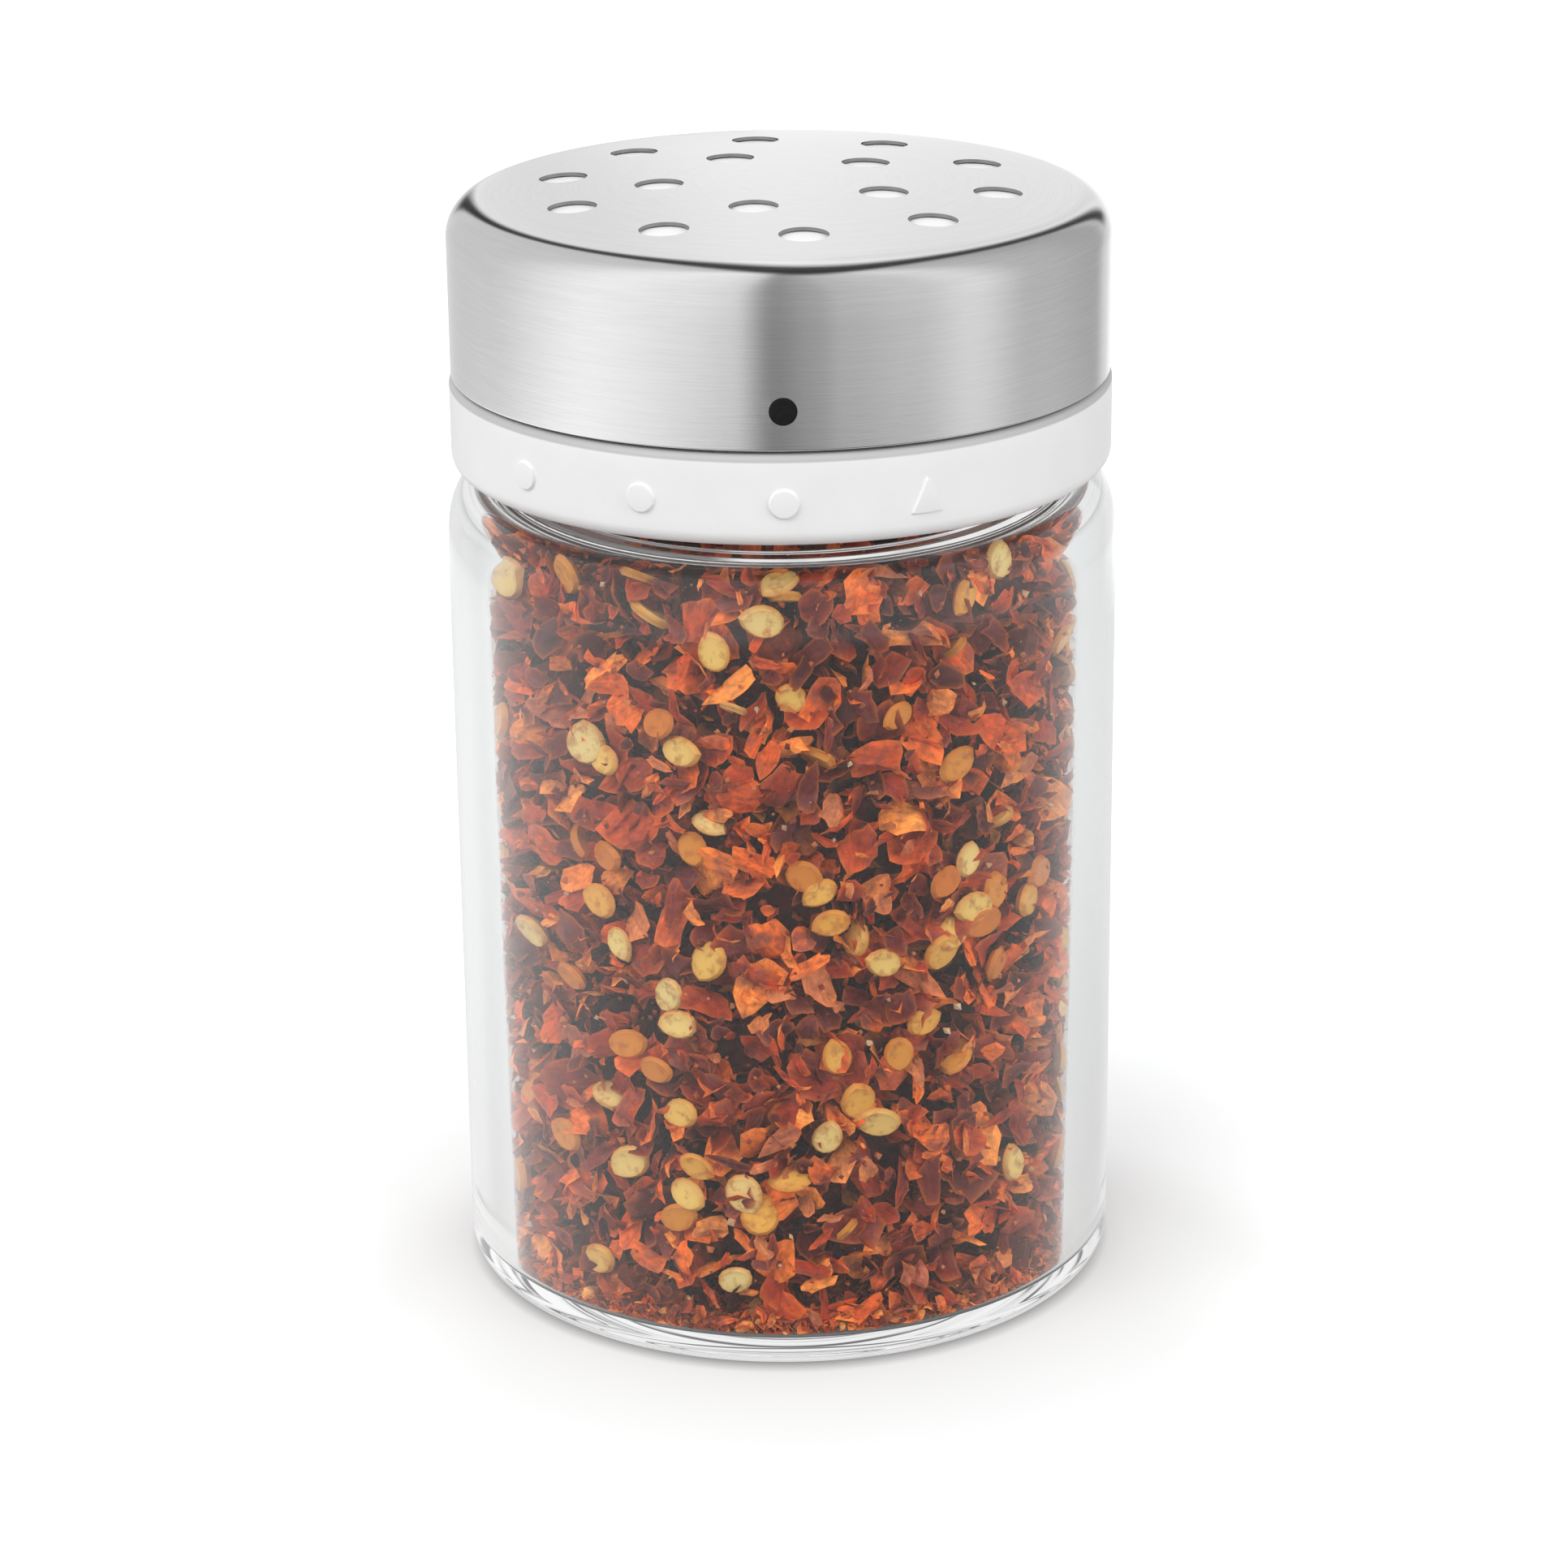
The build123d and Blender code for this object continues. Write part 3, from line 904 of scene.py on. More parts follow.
def chilli_scatter():
    """Tree that strews shapes under a surface, each with its own tilt, size, depth and tone."""
    own_inputs = dict.fromkeys(("Density", "Tilt", "Shallowest", "Deepest"), "Float")
    tree, given = new_tree("chilli_scatter", {**bit_inputs, **own_inputs})
    spread = {"Mesh": given["Geometry"], "Density": given["Density"], "Seed": given["Seed"]}
    strewn = add(tree, "GeometryNodeDistributePointsOnFaces", spread, distribute_method="RANDOM").outputs

    def scaled(vector, scale):
        """Vector made longer, shorter or turned back."""
        return result(tree, "VectorMath", {0: vector, "Scale": scale}, operation="SCALE")

    depth = drawn(tree, given, "FLOAT", given["Shallowest"], given["Deepest"], 1)
    sink = scaled(strewn["Normal"], times(tree, depth, -1.0))
    sunk = result(tree, "GeometryNodeSetPosition", {"Geometry": strewn["Points"], "Offset": sink})
    lean = joined(tree, given["Tilt"], given["Tilt"], pi)
    tilt = drawn(tree, given, "FLOAT_VECTOR", scaled(lean, -1.0), lean, 2)
    turn = {"Rotation": strewn["Rotation"], "Rotate By": tilt}
    turn = result(tree, "FunctionNodeRotateRotation", turn, rotation_space="LOCAL")
    set_bits(tree, given, sunk, turn)
    return tree


def seed_setting():
    """Tree that sets a shape at each vertex, turned as the vertex says."""
    tree, given = new_tree("seed_setting", bit_inputs)
    turn = result(tree, "GeometryNodeInputNamedAttribute", {"Name": "turn"}, data_type="FLOAT_VECTOR")
    set_bits(tree, given, given["Geometry"], turn)
    return tree


# The jar


def eased_shoulder(arc_radius, lean):
    """Arc of the shoulder up to a lean, with a curve before it whose bend sets in slowly from the wall."""
    angle = radians(shoulder_ease_angle)
    meet = Vector(shoulder_centre) + arc_radius * Vector((cos(angle), sin(angle)))
    reach = (jar_radius - meet.x) / sin(angle)
    handle_z = meet.y - reach * cos(angle)
    # With this handle the curve ends with the bend of the arc
    wall_handle_z = handle_z - 1.5 * reach**2 / (arc_radius * sin(angle))
    knots = [(jar_radius, z) for z in (body_height - shoulder_ease, wall_handle_z, handle_z)]
    ease = interpolate_bezier(*knots, meet, shoulder_ease_points)
    bend = arc(shoulder_centre, arc_radius, shoulder_ease_angle, lean, steps=18)
    return [tuple(point[:2]) for point in ease] + bend[1:]


def neck_bend(arc_radius, line_radius):
    """Arc of the shoulder and the small bend that leads it into an upright wall, from the bend upwards."""
    centre_r = line_radius + neck_blend
    reach = arc_radius + neck_blend
    rise = sqrt(reach**2 - (centre_r - shoulder_centre[0]) ** 2)
    centre = (centre_r, shoulder_centre[1] + rise)
    lean = degrees(atan2(rise, centre_r - shoulder_centre[0]))
    bend = arc(centre, neck_blend, lean + 180.0, 180.0, steps=8)
    return eased_shoulder(arc_radius, lean) + bend[1:]


def jar_outline():
    """Closed outline of the glass, from the recess under the base round to the floor."""
    heel_r = jar_radius - heel_radius
    foot_r = heel_r - foot_width
    lip_z = rim_z - lip_radius
    foot_corners = (
        (0, base_recess_depth, 0),
        (foot_r - base_recess_slope, base_recess_depth, foot_round),
        (foot_r, 0, foot_round),
        (heel_r, 0, 0),
    )
    outside = neck_bend(shoulder_radius, neck_radius)
    bore_edge = (neck_bore + bore_edge_radius, bore_shoulder_z + bore_edge_radius)
    bore_corner = (jar_bore - bore_corner_radius, bore_shoulder_z - bore_corner_radius)
    floor_corner = (jar_bore - floor_corner_radius, base_thickness + floor_corner_radius)
    wall_z = outside[-1][1]
    return [
        *rounded(foot_corners, steps=4),
        *arc((heel_r, heel_radius), heel_radius, -90.0, 0.0, steps=12)[1:],
        *outside,
        *[(neck_radius, wall_z + (lip_z - wall_z) * row / neck_rows) for row in range(1, neck_rows)],
        *arc((neck_radius - lip_radius, lip_z), lip_radius, 0.0, 90.0, steps=8),
        *arc((neck_bore + lip_radius, lip_z), lip_radius, 90.0, 180.0, steps=8),
        *arc(bore_edge, bore_edge_radius, 180.0, 270.0, steps=10),
        *arc(bore_corner, bore_corner_radius, 90.0, 0.0, steps=12),
        *arc(floor_corner, floor_corner_radius, 0.0, -90.0, steps=8),
        (jar_bore / 2, base_thickness),
        (0, base_thickness),
    ]


def glass_shift(radius, z, angle):
    """Thread on the neck."""
    if abs(radius - neck_radius) < same_wall:
        return radius + thread_depth * thread_ridge(z, angle, neck_thread_z), z
    return radius, z


def glass_jar():
    """The clear jar with its screw thread."""
    mesh = turned("glass_jar", jar_outline(), evenly(jar_columns), glass_shift)
    piece("glass_jar", mesh, "jar", "glass_jar", "glass")


# The collar


def mark_height(across, up, place):
    """Height share of a dial mark at a distance across and up from its centre."""
    if place == triangle_place:
        slant = hypot(triangle_width / 2, triangle_height)
        tip = (up - triangle_height / 2) * triangle_width / 2
        edges = [(side * triangle_height + tip) / slant for side in (abs(across), -abs(across))]
        edges.append(-triangle_height / 2 - up)
        soft = sum(exp(min(edge / triangle_corner, exponent_limit)) for edge in edges)
        away = triangle_corner * log(soft)
    else:
        away = hypot(across, up) - mark_radius
    face = 1 - mark_dome * min(hypot(across, up) / mark_half, 1.0) ** 2
    return face * smoothstep(0.5 - away / mark_edge)


def collar_shift(radius, z, angle):
    """Dial marks on the wall and the thread in the bore."""
    if abs(radius - collar_radius) < same_wall:
        for place, middle in mark_angles.items():
            across = turn_between(angle, middle)
            if abs(across) * radius < mark_half:
                return radius + mark_relief * mark_height(across * radius, z - mark_z, place), z
    if abs(radius - thread_bore) < same_wall:
        return radius - thread_depth * thread_ridge(z, angle, collar_thread_z), z
    return radius, z


def collar_columns():
    """Angles of the collar's columns, close together over the dial marks."""
    reach = mark_half / collar_radius
    count = round(2 * reach * collar_radius / mark_step)
    fine = []
    for middle in mark_angles.values():
        fine.extend(middle - reach + 2 * reach * index / count for index in range(count + 1))
    coarse = [
        angle
        for angle in (a - pi for a in evenly(collar_turn_columns))
        if all(abs(turn_between(angle, other)) > column_gap for other in fine)
    ]
    return sorted(coarse + fine)


def collar_outline():
    """Closed outline of the collar, with rows where the marks and the thread are."""
    groove_low = deck_z + groove_height - groove_width / 2
    groove_high = groove_low + groove_width
    groove_r = tower_radius - groove_depth
    throat_top = seal_z + ledge_thickness
    seat_under = disc_z - ledge_thickness
    deck_under = deck_z - deck_thickness
    mark_rows = round(2 * mark_half / mark_step)
    return rounded(
        (
            (thread_bore, collar_z),
            (collar_radius, collar_z, collar_bottom_round),
            (collar_radius, mark_z - mark_half, 0, mark_rows),
            (collar_radius, mark_z + mark_half, 0),
            (collar_radius, deck_z, collar_top_round),
            (tower_radius, deck_z),
            (tower_radius, groove_low),
            (groove_r, groove_low),
            (groove_r, groove_high),
            (tower_radius, groove_high),
            (tower_radius, tower_z),
            (tower_bore, tower_z),
            (tower_bore, disc_z),
            (seat_radius, disc_z),
            (seat_radius, seat_under),
            (tower_bore, seat_under - ledge_slope),
            (tower_bore, throat_top),
            (throat_radius, throat_top),
            (throat_radius, seal_z),
            (tower_bore, seal_z),
            (tower_bore, deck_under),
            (thread_bore, deck_under, collar_edge_round, thread_bore_rows),
        ),
        collar_edge_round,
    )


def screw_collar():
    """The white collar with its raised marks and inner thread."""
    mesh = turned("screw_collar", collar_outline(), collar_columns(), collar_shift)
    piece("screw_collar", mesh, "collar", "screw_collar", "collar")


# The cap


def cap_outline():
    """Closed outline of the drawn cup."""
    edge_r = cap_radius - cap_round
    inner_r = cap_radius - cap_sheet
    crown_centre = (0, crown_z - crown_radius)
    edge_rise = sqrt((crown_radius - cap_round) ** 2 - edge_r**2)
    edge_centre = (edge_r, crown_centre[1] + edge_rise)
    lean = degrees(atan2(edge_rise, edge_r))
    hem = (
        (cap_radius, edge_centre[1], 0, 8),
        (cap_radius, cap_z + cap_hem_support, 0),
        (cap_radius, cap_z, cap_hem_round),
        (inner_r, cap_z, cap_sheet / 4),
        (inner_r, edge_centre[1], 0),
    )
    return [
        (0, crown_z),
        *arc(crown_centre, crown_radius, 90.0, lean, steps=24)[1:],
        *arc(edge_centre, cap_round, lean, 0.0, steps=14)[1:-1],
        *rounded(hem),
        *arc(edge_centre, cap_round - cap_sheet, 0.0, lean, steps=8)[1:-1],
        *arc(crown_centre, crown_radius - cap_sheet, lean, 90.0, steps=12)[:-1],
        (0, crown_z - cap_sheet),
    ]


def punched(mesh):
    """Cup with its rings of holes."""
    tree = punched_ring()
    for count, ring_radius, first_angle in hole_rings:
        ring = {
            "Holes": count,
            "Ring Radius": ring_radius,
            "Turn": radians(front_angle + first_angle),
            "Hole Radius": hole_radius,
            "Height": crown_z,
            "Depth": hole_depth,
            "Finish": finish["steel"],
        }
        mesh = grown(tree, mesh, ring)
    return mesh


def pointer_bored(mesh):
    """Cup with the round hole that the pointer plug fills."""
    cutter = bpy.data.meshes.new("pointer_cutter")
    shape = bmesh.new()
    radius = pointer_radius + pointer_fit
    bmesh.ops.create_cone(
        shape,
        cap_ends=True,
        segments=pointer_sides,
        radius1=radius,
        radius2=radius,
        depth=2 * pointer_depth,
        matrix=Matrix.Translation((0, -cap_radius, pointer_z)) @ Matrix.Rotation(pi / 2, 4, "X"),
    )
    shape.to_mesh(cutter)
    shape.free()
    peg = shown("peg", cutter)
    cup = shown("cup", mesh)
    bore = cup.modifiers.new("bore", "BOOLEAN")
    bore.operation = "DIFFERENCE"
    bore.object = peg
    bore.solver = "MANIFOLD"
    graph = bpy.context.evaluated_depsgraph_get()
    bored = bpy.data.meshes.new_from_object(cup.evaluated_get(graph), depsgraph=graph)
    for made in (peg, cup):
        bpy.data.objects.remove(made)
    return bored


def steel_cap():
    """The brushed cup with its two rings of holes."""
    cup = turned("steel_cap", cap_outline(), evenly(cap_columns))
    cup = creased(pointer_bored(punched(cup)))
    piece("steel_cap", cup, "cap", "steel_cap", "steel")


def pointer_dot():
    """Black plug whose face follows the skirt, with a softened rim."""
    points = []
    for span, lift in pointer_rows:
        for turn in evenly(1 if span == 0 else pointer_sides):
            x = pointer_radius * span * cos(turn)
            z = pointer_z + pointer_radius * span * sin(turn)
            if lift is None:
                y = -(cap_radius - pointer_depth)
            else:
                y = -sqrt((cap_radius + pointer_proud - pointer_rim * (1 - lift)) ** 2 - x**2)
            points.append((x, y, z))
    faces = ring_faces(len(pointer_rows) - 1, pointer_sides)
    faces.append(tuple(range(len(points) - pointer_sides, len(points))))
    mesh = outward("pointer_dot", points, faces)
    piece("pointer_dot", mesh, "cap", "pointer_dot", "pointer")


# The chilli


def bent(x, z, radius):
    """Point of a strip bent round a radius."""
    return radius * sin(x / radius), z + radius * (1 - cos(x / radius))


def torn_outline(draw, waist):
    """Points of a torn scrap: straight breaks between a few corners, and a ragged edge."""
    count = draw.choice(flake_corners)
    corners = []
    for index in range(count):
        angle = 2 * pi * (index + draw.uniform(-flake_corner_slip, flake_corner_slip)) / count
        corners.append((angle, draw.uniform(*flake_corner_reach)))
    corners.append((corners[0][0] + 2 * pi, corners[0][1]))
    points = []
    for index in range(flake_sides):
        angle = corners[0][0] + 2 * pi * (index + draw.uniform(*flake_edge_slip)) / flake_sides
        for (first, near), (last, far) in zip(corners, corners[1:]):
            if first <= angle <= last:
                break
        reach = near * far * sin(last - first)
        reach /= near * sin(angle - first) + far * sin(last - angle)
        reach *= draw.uniform(*flake_edge_rag)
        points.append((reach * cos(angle), waist * reach * sin(angle)))
    return points


def flake_shape(name, draw):
    """Torn, curled scrap, thin at its edge."""
    waist = draw.choice(flake_waists)
    curl = draw.choice((-1, 1)) * draw.choice(flake_curls)
    cup = draw.choice((-1, 1)) * draw.uniform(*flake_cups)
    thickness = draw.uniform(*flake_thickness)
    outline = torn_outline(draw, waist)
    inner = [(flake_core * x, flake_core * y) for x, y in outline[::2]]
    flat = [(0.0, 0.0), *inner, *outline]
    crumple = [draw.uniform(-flake_crumple, flake_crumple) for _ in flat]
    twist = draw.uniform(-flake_twist, flake_twist)
    shaped = []
    for (x, y), lift in zip(flat, crumple, strict=True):
        bent_x, z = bent(x, lift + twist * x * y, curl)
        bent_y, z = bent(y, z, cup)
        shaped.append((bent_x, bent_y, z))
    cores = len(inner) + 1
    points = [(x, y, z + side * thickness / 2) for side in (1, -1) for x, y, z in shaped[:cores]]
    points += shaped[cores:]
    rims = [0.0] + [0.5] * len(inner)
    rims = rims * 2 + [1.0] * flake_sides
    places = flat[:cores] * 2 + flat[cores:]
    edge = 2 * cores
    faces = []
    lining = []
    for side in (0, 1):
        base = side * cores
        made = []
        for index in range(len(inner)):
            here = base + 1 + index
            after = base + 1 + (index + 1) % len(inner)
            rim = [edge + (2 * index + step) % flake_sides for step in (0, 1, 2)]
            made += [(base, here, after), (here, rim[0], rim[1])]
            made += [(here, rim[1], after), (after, rim[1], rim[2])]
        faces += [face if side == 0 else face[::-1] for face in made]
        lining += [float(side)] * len(made)
    return bit_mesh(name, points, faces, rims, places, lining)


def seed_shape(name, draw):
    """Flat seed with a raised rim, a dished middle and a beak."""
    beak = draw.uniform(*seed_beak)
    waist = draw.uniform(*seed_waist)
    points = [(0.0, 0.0, seed_dish)]
    rims = [0.0]
    for span, lift in seed_rows:
        for angle in evenly(seed_sides):
            away = (angle - pi) / seed_beak_spread
            oval = seed_oval * cos(2 * angle + seed_oval_turn)
            reach = span * (1 + beak * exp(-away * away) + oval)
            points.append((reach * cos(angle), waist * reach * sin(angle), lift))
            rims.append(span)
    points.append((0.0, 0.0, -seed_dish))
    rims.append(0.0)
    last = len(points) - 1
    start = last - seed_sides
    faces = ring_faces(len(seed_rows), seed_sides)
    faces += [(last, start + (index + 1) % seed_sides, start + index) for index in range(seed_sides)]
    return bit_mesh(name, points, faces, rims)


def crumb_shape(name, draw):
    """Small broken lump."""
    axes = ((1, 0, 0), (0, 1, 0), (-1, 0, 0), (0, -1, 0), (0, 0, 1), (0, 0, -1))
    points = [tuple(draw.uniform(*crumb_reach) * part for part in axis) for axis in axes]
    faces = []
    for index in range(4):
        after = (index + 1) % 4
        faces += [(index, after, 4), (after, index, 5)]
    return bit_mesh(name, points, faces, [1.0] * len(points))


def bit_mesh(name, points, faces, rims, places=None, lining=None):
    """Mesh of one bit with what its finish reads: rim, place on the bit and inner side."""
    mesh = outward(name, points, faces)
    spots = [part for x, y, *_ in places or points for part in (x, y, 0.0)]
    lining = lining or [0.0] * len(faces)
    mesh.attributes.new("rim", "FLOAT", "POINT").data.foreach_set("value", rims)
    mesh.attributes.new("flake_place", "FLOAT_VECTOR", "POINT").data.foreach_set("vector", spots)
    mesh.attributes.new("inner_side", "FLOAT", "FACE").data.foreach_set("value", lining)
    return mesh


def shape_set(name, count, make):
    """Collection of shapes to strew."""
    draw = random.Random(shape_seeds[name])
    shapes = bpy.data.collections.new(name)
    for index in range(count):
        label = f"{name}_{index}"
        shapes.objects.link(bpy.data.objects.new(label, make(label, draw)))
    return shapes


def fill_outline(inset):
    """Closed outline of the fill, held in from the glass."""
    radius = jar_bore - inset
    neck = neck_bore - inset
    floor = base_thickness + inset
    ceiling = bore_shoulder_z - inset
    corner = bore_corner_radius
    return [
        (0, floor),
        *[(radius * row / floor_rings, floor) for row in range(1, floor_rings)],
        *[(radius, floor + (ceiling - corner - floor) * row / fill_rows) for row in range(fill_rows)],
        *arc((radius - corner, ceiling - corner), corner, 0.0, 90.0, steps=6),
        (neck, ceiling),
        (neck, fill_z - inset),
        (neck / 2, fill_z + fill_heap / 2 - inset),
        (0, fill_z + fill_heap - inset),
    ]


def glass_limit(z):
    """Radius that a bit may reach at a height."""
    above = np.clip(1 - (bore_shoulder_z - z) / bore_corner_radius, 0.0, 1.0)
    below = np.clip(1 - (z - base_thickness) / floor_corner_radius, 0.0, 1.0)
    bend = bore_corner_radius * (1 - np.sqrt(1 - above**2))
    corner = floor_corner_radius * (1 - np.sqrt(1 - below**2))
    wall = np.where(z < bore_shoulder_z, jar_bore, neck_bore)
    return wall - bend * (z < bore_shoulder_z) - corner - glass_gap


def pressed(mesh, seeds=None):
    """Bits moved in, each as a whole, until none reaches into the glass, and away from in front of seeds."""
    count = len(mesh.vertices)
    places = np.zeros(count * 3)
    mesh.vertices.foreach_get("co", places)
    places = places.reshape(-1, 3)
    bits = np.zeros(count, dtype=np.int32)
    mesh.attributes["bit"].data.foreach_get("value", bits)
    total = bits.max() + 1
    members = np.bincount(bits, minlength=total)[:, None]

    def middles():
        """Centre of each bit."""
        sums = [np.bincount(bits, places[:, axis], total) for axis in range(3)]
        return np.stack(sums, 1) / np.maximum(members, 1)

    def outwards(centres):
        """Direction from the axis to each bit."""
        flat = centres * (1, 1, 0)
        return flat / np.maximum(np.linalg.norm(flat, axis=1, keepdims=True), no_distance)

    if seeds is not None:
        centres = middles()
        apart = np.linalg.norm(centres[:, None] - seeds[None], axis=2)
        near = apart.min(axis=1, keepdims=True) < seed_clearance
        places -= (outwards(centres) * near * seed_push)[bits]
    for _ in range(press_rounds):
        lift = np.zeros(total)
        np.maximum.at(lift, bits, base_thickness + glass_gap - places[:, 2])
        places[:, 2] += lift[bits]
        excess = np.zeros(total)
        reach = np.hypot(places[:, 0], places[:, 1])
        np.maximum.at(excess, bits, reach - glass_limit(places[:, 2]))
        places -= (outwards(middles()) * excess[:, None])[bits]
    reach = np.hypot(places[:, 0], places[:, 1])
    share = np.minimum(1.0, glass_limit(places[:, 2]) / np.maximum(reach, no_distance))
    places[:, :2] *= share[:, None]
    mesh.vertices.foreach_set("co", places.ravel())
    mesh.update()
    return mesh


def seed_bed():
    """Points just behind the glass, one for each seed, that say how it is turned."""
    draw = random.Random(seed_place_seed)
    front = enumerate((flat_seeds, edge_seeds))
    spots = [(turn, height / 1000, on_edge) for on_edge, seeds in front for turn, height in seeds]
    for _ in range(back_seeds):
        turn = draw.uniform(*back_turn)
        height = draw.uniform(base_thickness + back_margins[0], bore_shoulder_z - back_margins[1])
        spots.append((turn, height, draw.random() < back_edge_share))
    points = []
    turns = []
    for turn, height, on_edge in spots:
        around = radians(front_angle + turn)
        radius = jar_bore - seed_sink - draw.uniform(0.0, seed_sink)
        lean = draw.uniform(*(edge_lean if on_edge else flat_lean))
        points.append((radius * cos(around), radius * sin(around), height))
        facing = Matrix.Rotation(around, 3, "Z") @ Matrix.Rotation(pi / 2, 3, "Y")
        spin = Matrix.Rotation(draw.uniform(-pi, pi), 3, "Z")
        tip = spin @ Matrix.Rotation(lean, 3, "X") @ Matrix.Rotation(draw.uniform(-pi, pi), 3, "Z")
        turns.extend((facing @ tip).to_euler())
    mesh = bpy.data.meshes.new("seed_bed")
    mesh.from_pydata(points, [], [])
    mesh.attributes.new("turn", "FLOAT_VECTOR", "POINT").data.foreach_set("vector", turns)
    return mesh, np.array(points)


def chilli_fill():
    """Flakes in layers under the glass, seeds, crumbs and dust among them, round a heart painted dark as
    shade.
    """
    columns = evenly(fill_columns)
    low = base_thickness + glass_gap
    wide = jar_bore - glass_gap
    strip = [(wide - floor_strip, low), (wide, low), (wide, low + floor_strip)]
    hosts = {
        "surface": turned("fill_surface", fill_outline(glass_gap), columns),
        "corner": turned("fill_corner", strip, columns),
    }
    shapes = {
        "flake": shape_set("flake", flake_shapes, flake_shape),
        "seed": shape_set("seed", seed_shapes, seed_shape),
        "crumb": shape_set("crumb", crumb_shapes, crumb_shape),
    }

    def strewn(tree, host, kind, material, sizes, seed, **more):
        """Bits of a kind that a tree sets on a host."""
        values = {"Shapes": shapes[kind], "Smallest": sizes[0], "Largest": sizes[1], "Seed": seed}
        return grown(tree, host, {**values, "Finish": finish[material], **more})

    bed, seed_places = seed_bed()
    tree = chilli_scatter()
    for name, host, kind, material, density, sizes, tilt, depths, seed in fill_layers:
        spread = {"Density": density, "Tilt": tilt, "Shallowest": depths[0], "Deepest": depths[1]}
        mesh = strewn(tree, hosts[host], kind, material, sizes, seed, **spread)
        piece(name, pressed(mesh, seed_places), "jar", "chilli_flakes", material)
    mesh = strewn(seed_setting(), bed, "seed", "seed", seed_sizes, seed_size_seed)
    piece("chilli_seeds", pressed(mesh), "jar", "chilli_flakes", "seed")
    heart = turned("chilli_heart", fill_outline(heart_inset), columns)
    piece("chilli_heart", heart, "jar", "chilli_flakes", "heart")
    for collection in shapes.values():
        for shape in list(collection.objects):
            bpy.data.objects.remove(shape)
        bpy.data.collections.remove(collection)


# Stage, light and camera


def studio_world():
    """White for the eye, even light for matt surfaces, and for gloss a panel and sides with a dark front."""
    world = bpy.data.worlds.new("studio")
    bpy.context.scene.world = world
    tree = emptied(world)
    path, seen = light_path(tree)
    x, y, z = parts(tree, add(tree, "TexCoord").outputs["Generated"])
    bearing = maths(tree, "DEGREES", maths(tree, "ARCTAN2", x, times(tree, y, -1.0)))
    low = mixed(tree, mapped(tree, z, steep_z), grey(steep_tone), toned(tree, bearing, glass_tones))
    sides = tinted(tree, toned(tree, bearing, side_tones), mapped(tree, z, hem_z, hem_gains))
    sides = mixed(tree, mapped(tree, z, level_z), low, sides)
    across = maths(tree, "DIVIDE", maths(tree, "SUBTRACT", x, panel_x), panel_half_width)
    along = maths(tree, "DIVIDE", maths(tree, "ARCTAN2", z, y), radians(panel_arch))
    span = distance(tree, joined(tree, across, along))
    panel = tinted(tree, toned(tree, x, stripe_tones), toned(tree, span, rim_tones))
    upper = mixed(tree, mapped(tree, span, panel_edge), panel, sides)
    studio = mixed(tree, mapped(tree, z, rise_z), sides, upper)
    tone = mixed(tree, path["Is Glossy Ray"], mapped(tree, z, (0.0, 1.0), matt_tones), studio)
    tone = mixed(tree, seen, tone, grey(1.0))
    light = result(tree, "Background", {"Color": tone, "Strength": 1.0})
    add(tree, "OutputWorld", {"Surface": light})


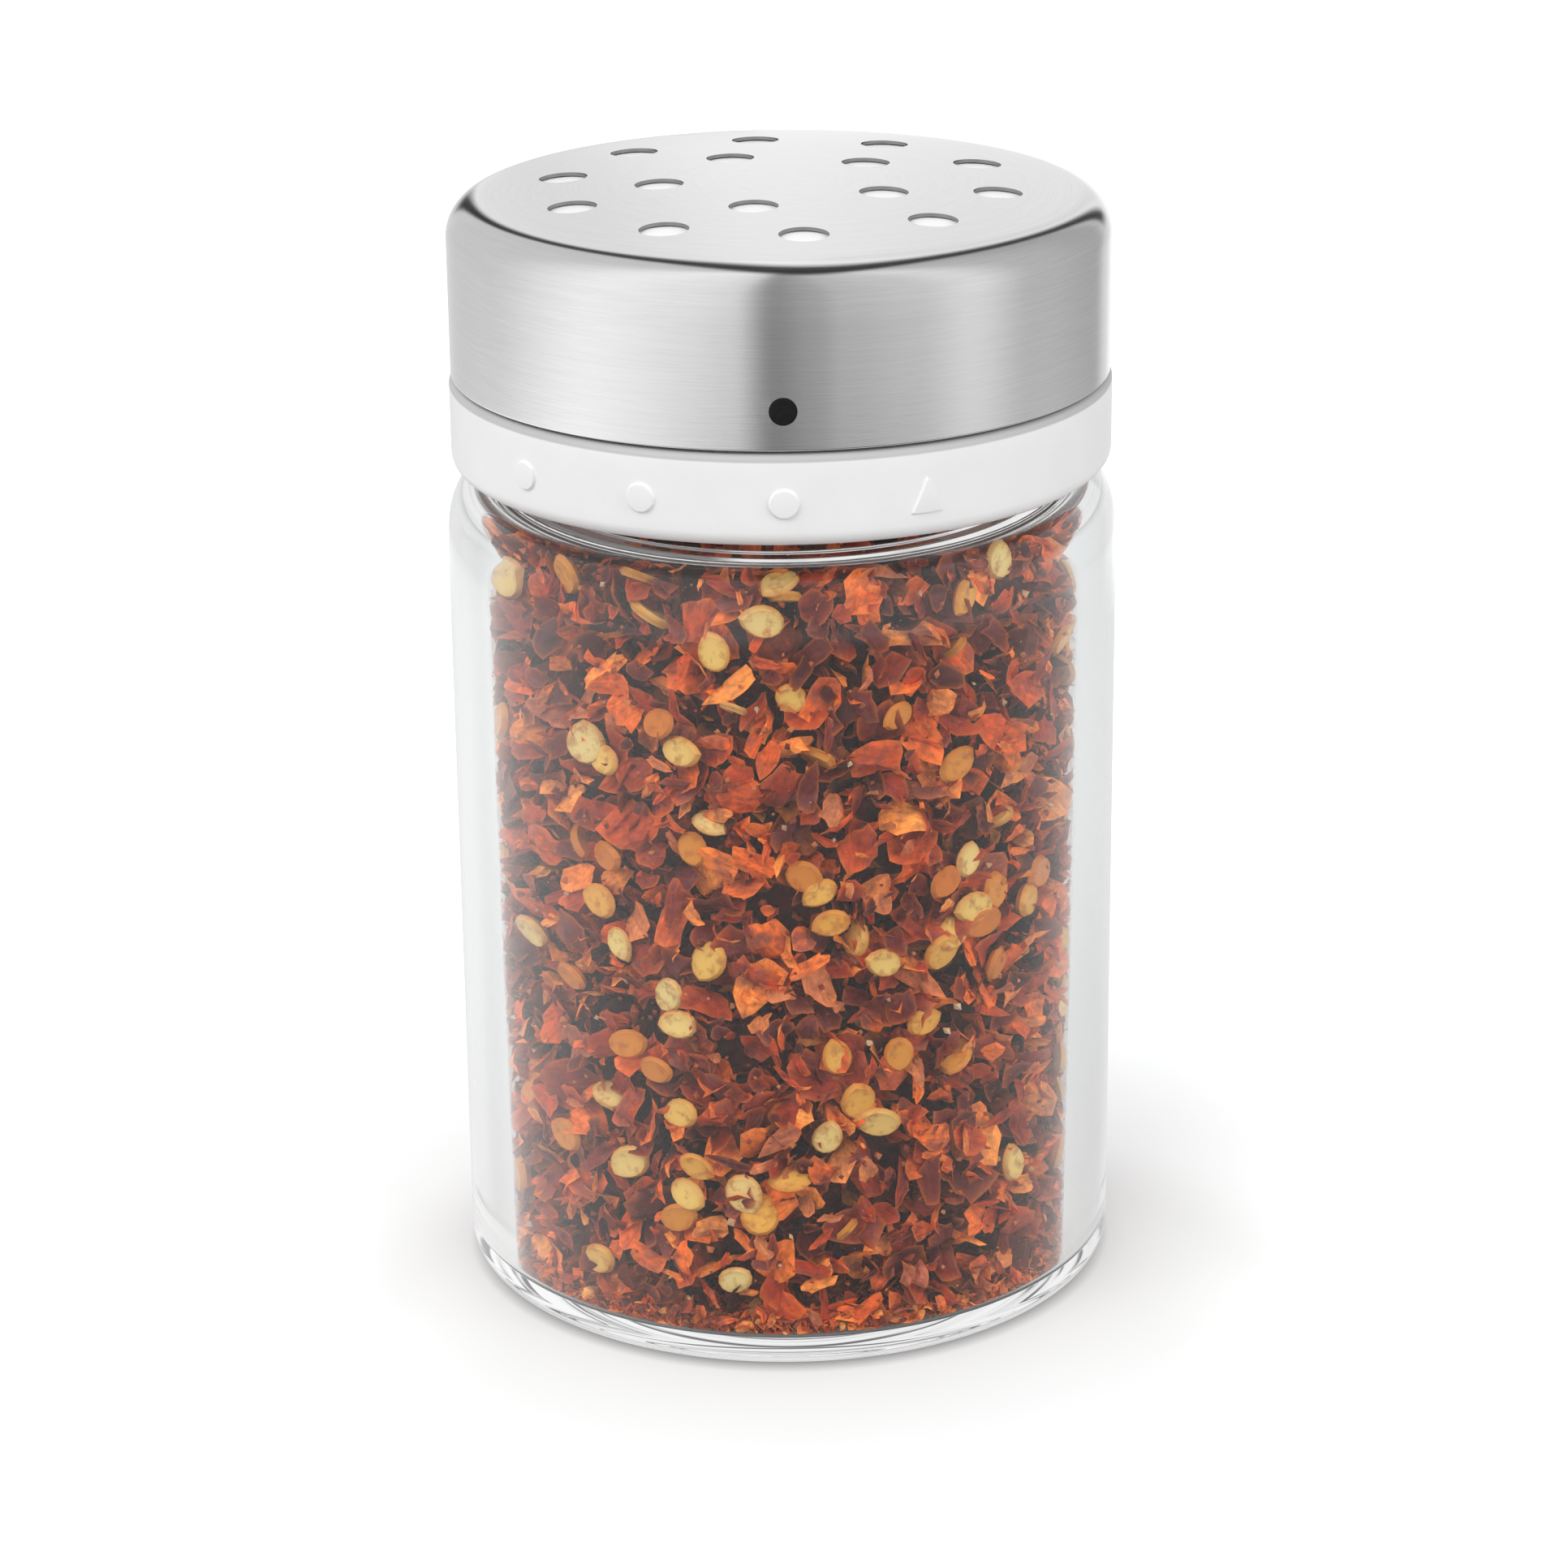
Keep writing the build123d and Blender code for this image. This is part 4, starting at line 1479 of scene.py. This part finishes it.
def white_floor():
    """Pale floor that stays white to the eye, keeps the real soft shadow, and has a painted shadow under,
    round and in front of the jar.
    """
    material = bpy.data.materials.new("white_floor")
    tree = emptied(material)
    path, seen = light_path(tree)
    place = object_place(tree)
    away = distance(tree, place)
    dull = tones(tree, noise(tree, place, 30.0), ((0.3, 0.42), (0.7, 0.44)))
    # Painted shadow: the paper darker under and right round the jar, with a faint cyan tint that cancels red
    # light bounced from the fill.
    shadowed_paper = tinted(tree, toned(tree, away, paper_shadow_tones, "LINEAR"), unreddened)
    card = result(tree, "BsdfDiffuse", {"Color": mixed(tree, seen, dull, shadowed_paper)})
    # Painted shadow: a soft dark patch in front of the jar, and the glow low under and near it.
    front_shadow = toned(tree, distance(tree, place, front_shadow_place), front_shadow_tones)
    clear = tinted(tree, toned(tree, away, glow_shadow_tones, "LINEAR"), front_shadow)
    # Painted shade: the glow is capped where the floor is seen through the glass.
    dimmed = mixed(tree, 1.0, clear, grey(glow_through_glass), "DARKEN")
    through = mixed(tree, path["Is Transmission Ray"], clear, dimmed)
    glow = result(tree, "Emission", {"Color": through, "Strength": seen})
    both = result(tree, "AddShader", {0: card, 1: glow})
    add(tree, "OutputMaterial", {"Surface": both})
    mesh = bpy.data.meshes.new("floor")
    corners = [(x * floor_half, y * floor_half, floor_z) for x, y in ((-1, -1), (1, -1), (1, 1), (-1, 1))]
    mesh.from_pydata(corners, [], [(0, 1, 2, 3)])
    mesh.materials.append(material)
    floor = shown("floor", mesh)
    floor.visible_glossy = False


def soft_lamp(name, place, size, power):
    """Square lamp that lights matt surfaces and stays out of sight."""
    light = bpy.data.lights.new(name, "AREA")
    light.shape = "SQUARE"
    light.size = size
    light.energy = power
    lamp = shown(name, light)
    lamp.location = place
    lamp.rotation_euler = (lamp_target - Vector(place)).to_track_quat("-Z", "Y").to_euler()
    lamp.visible_camera = False
    lamp.visible_glossy = False
    lamp.visible_transmission = False


def photo_camera():
    """Camera at the photograph's place."""
    turn, dip, roll = (radians(angle) for angle in camera_turns)
    ahead = Vector((sin(turn) * cos(dip), cos(turn) * cos(dip), -sin(dip)))
    level = ahead.cross(Vector((0, 0, 1))).normalized()
    upright = level.cross(ahead)
    right = cos(roll) * level + sin(roll) * upright
    up = -sin(roll) * level + cos(roll) * upright
    data = bpy.data.cameras.new("photo_camera")
    data.sensor_width = camera_sensor
    data.lens = camera_lens
    data.clip_start, data.clip_end = camera_clip
    camera = shown("photo_camera", data)
    camera.matrix_world = Matrix.Translation(camera_place) @ Matrix((right, up, -ahead)).transposed().to_4x4()
    bpy.context.scene.camera = camera


photo_camera()
studio_world()
white_floor()
for lamp in lamps:
    soft_lamp(*lamp)

glass_jar()
screw_collar()
steel_cap()
pointer_dot()
chilli_fill()

for inner_node, inner_finish in (("cap_liner", "plastic"), ("sifter_disc", "plastic"), ("rim_seal", "seal")):
    inner_mesh = frame["nodes"][inner_node]
    for inner_slot in inner_mesh.material_slots:
        inner_slot.material = finish[inner_finish]

bpy.context.scene.view_settings.view_transform = "Standard"
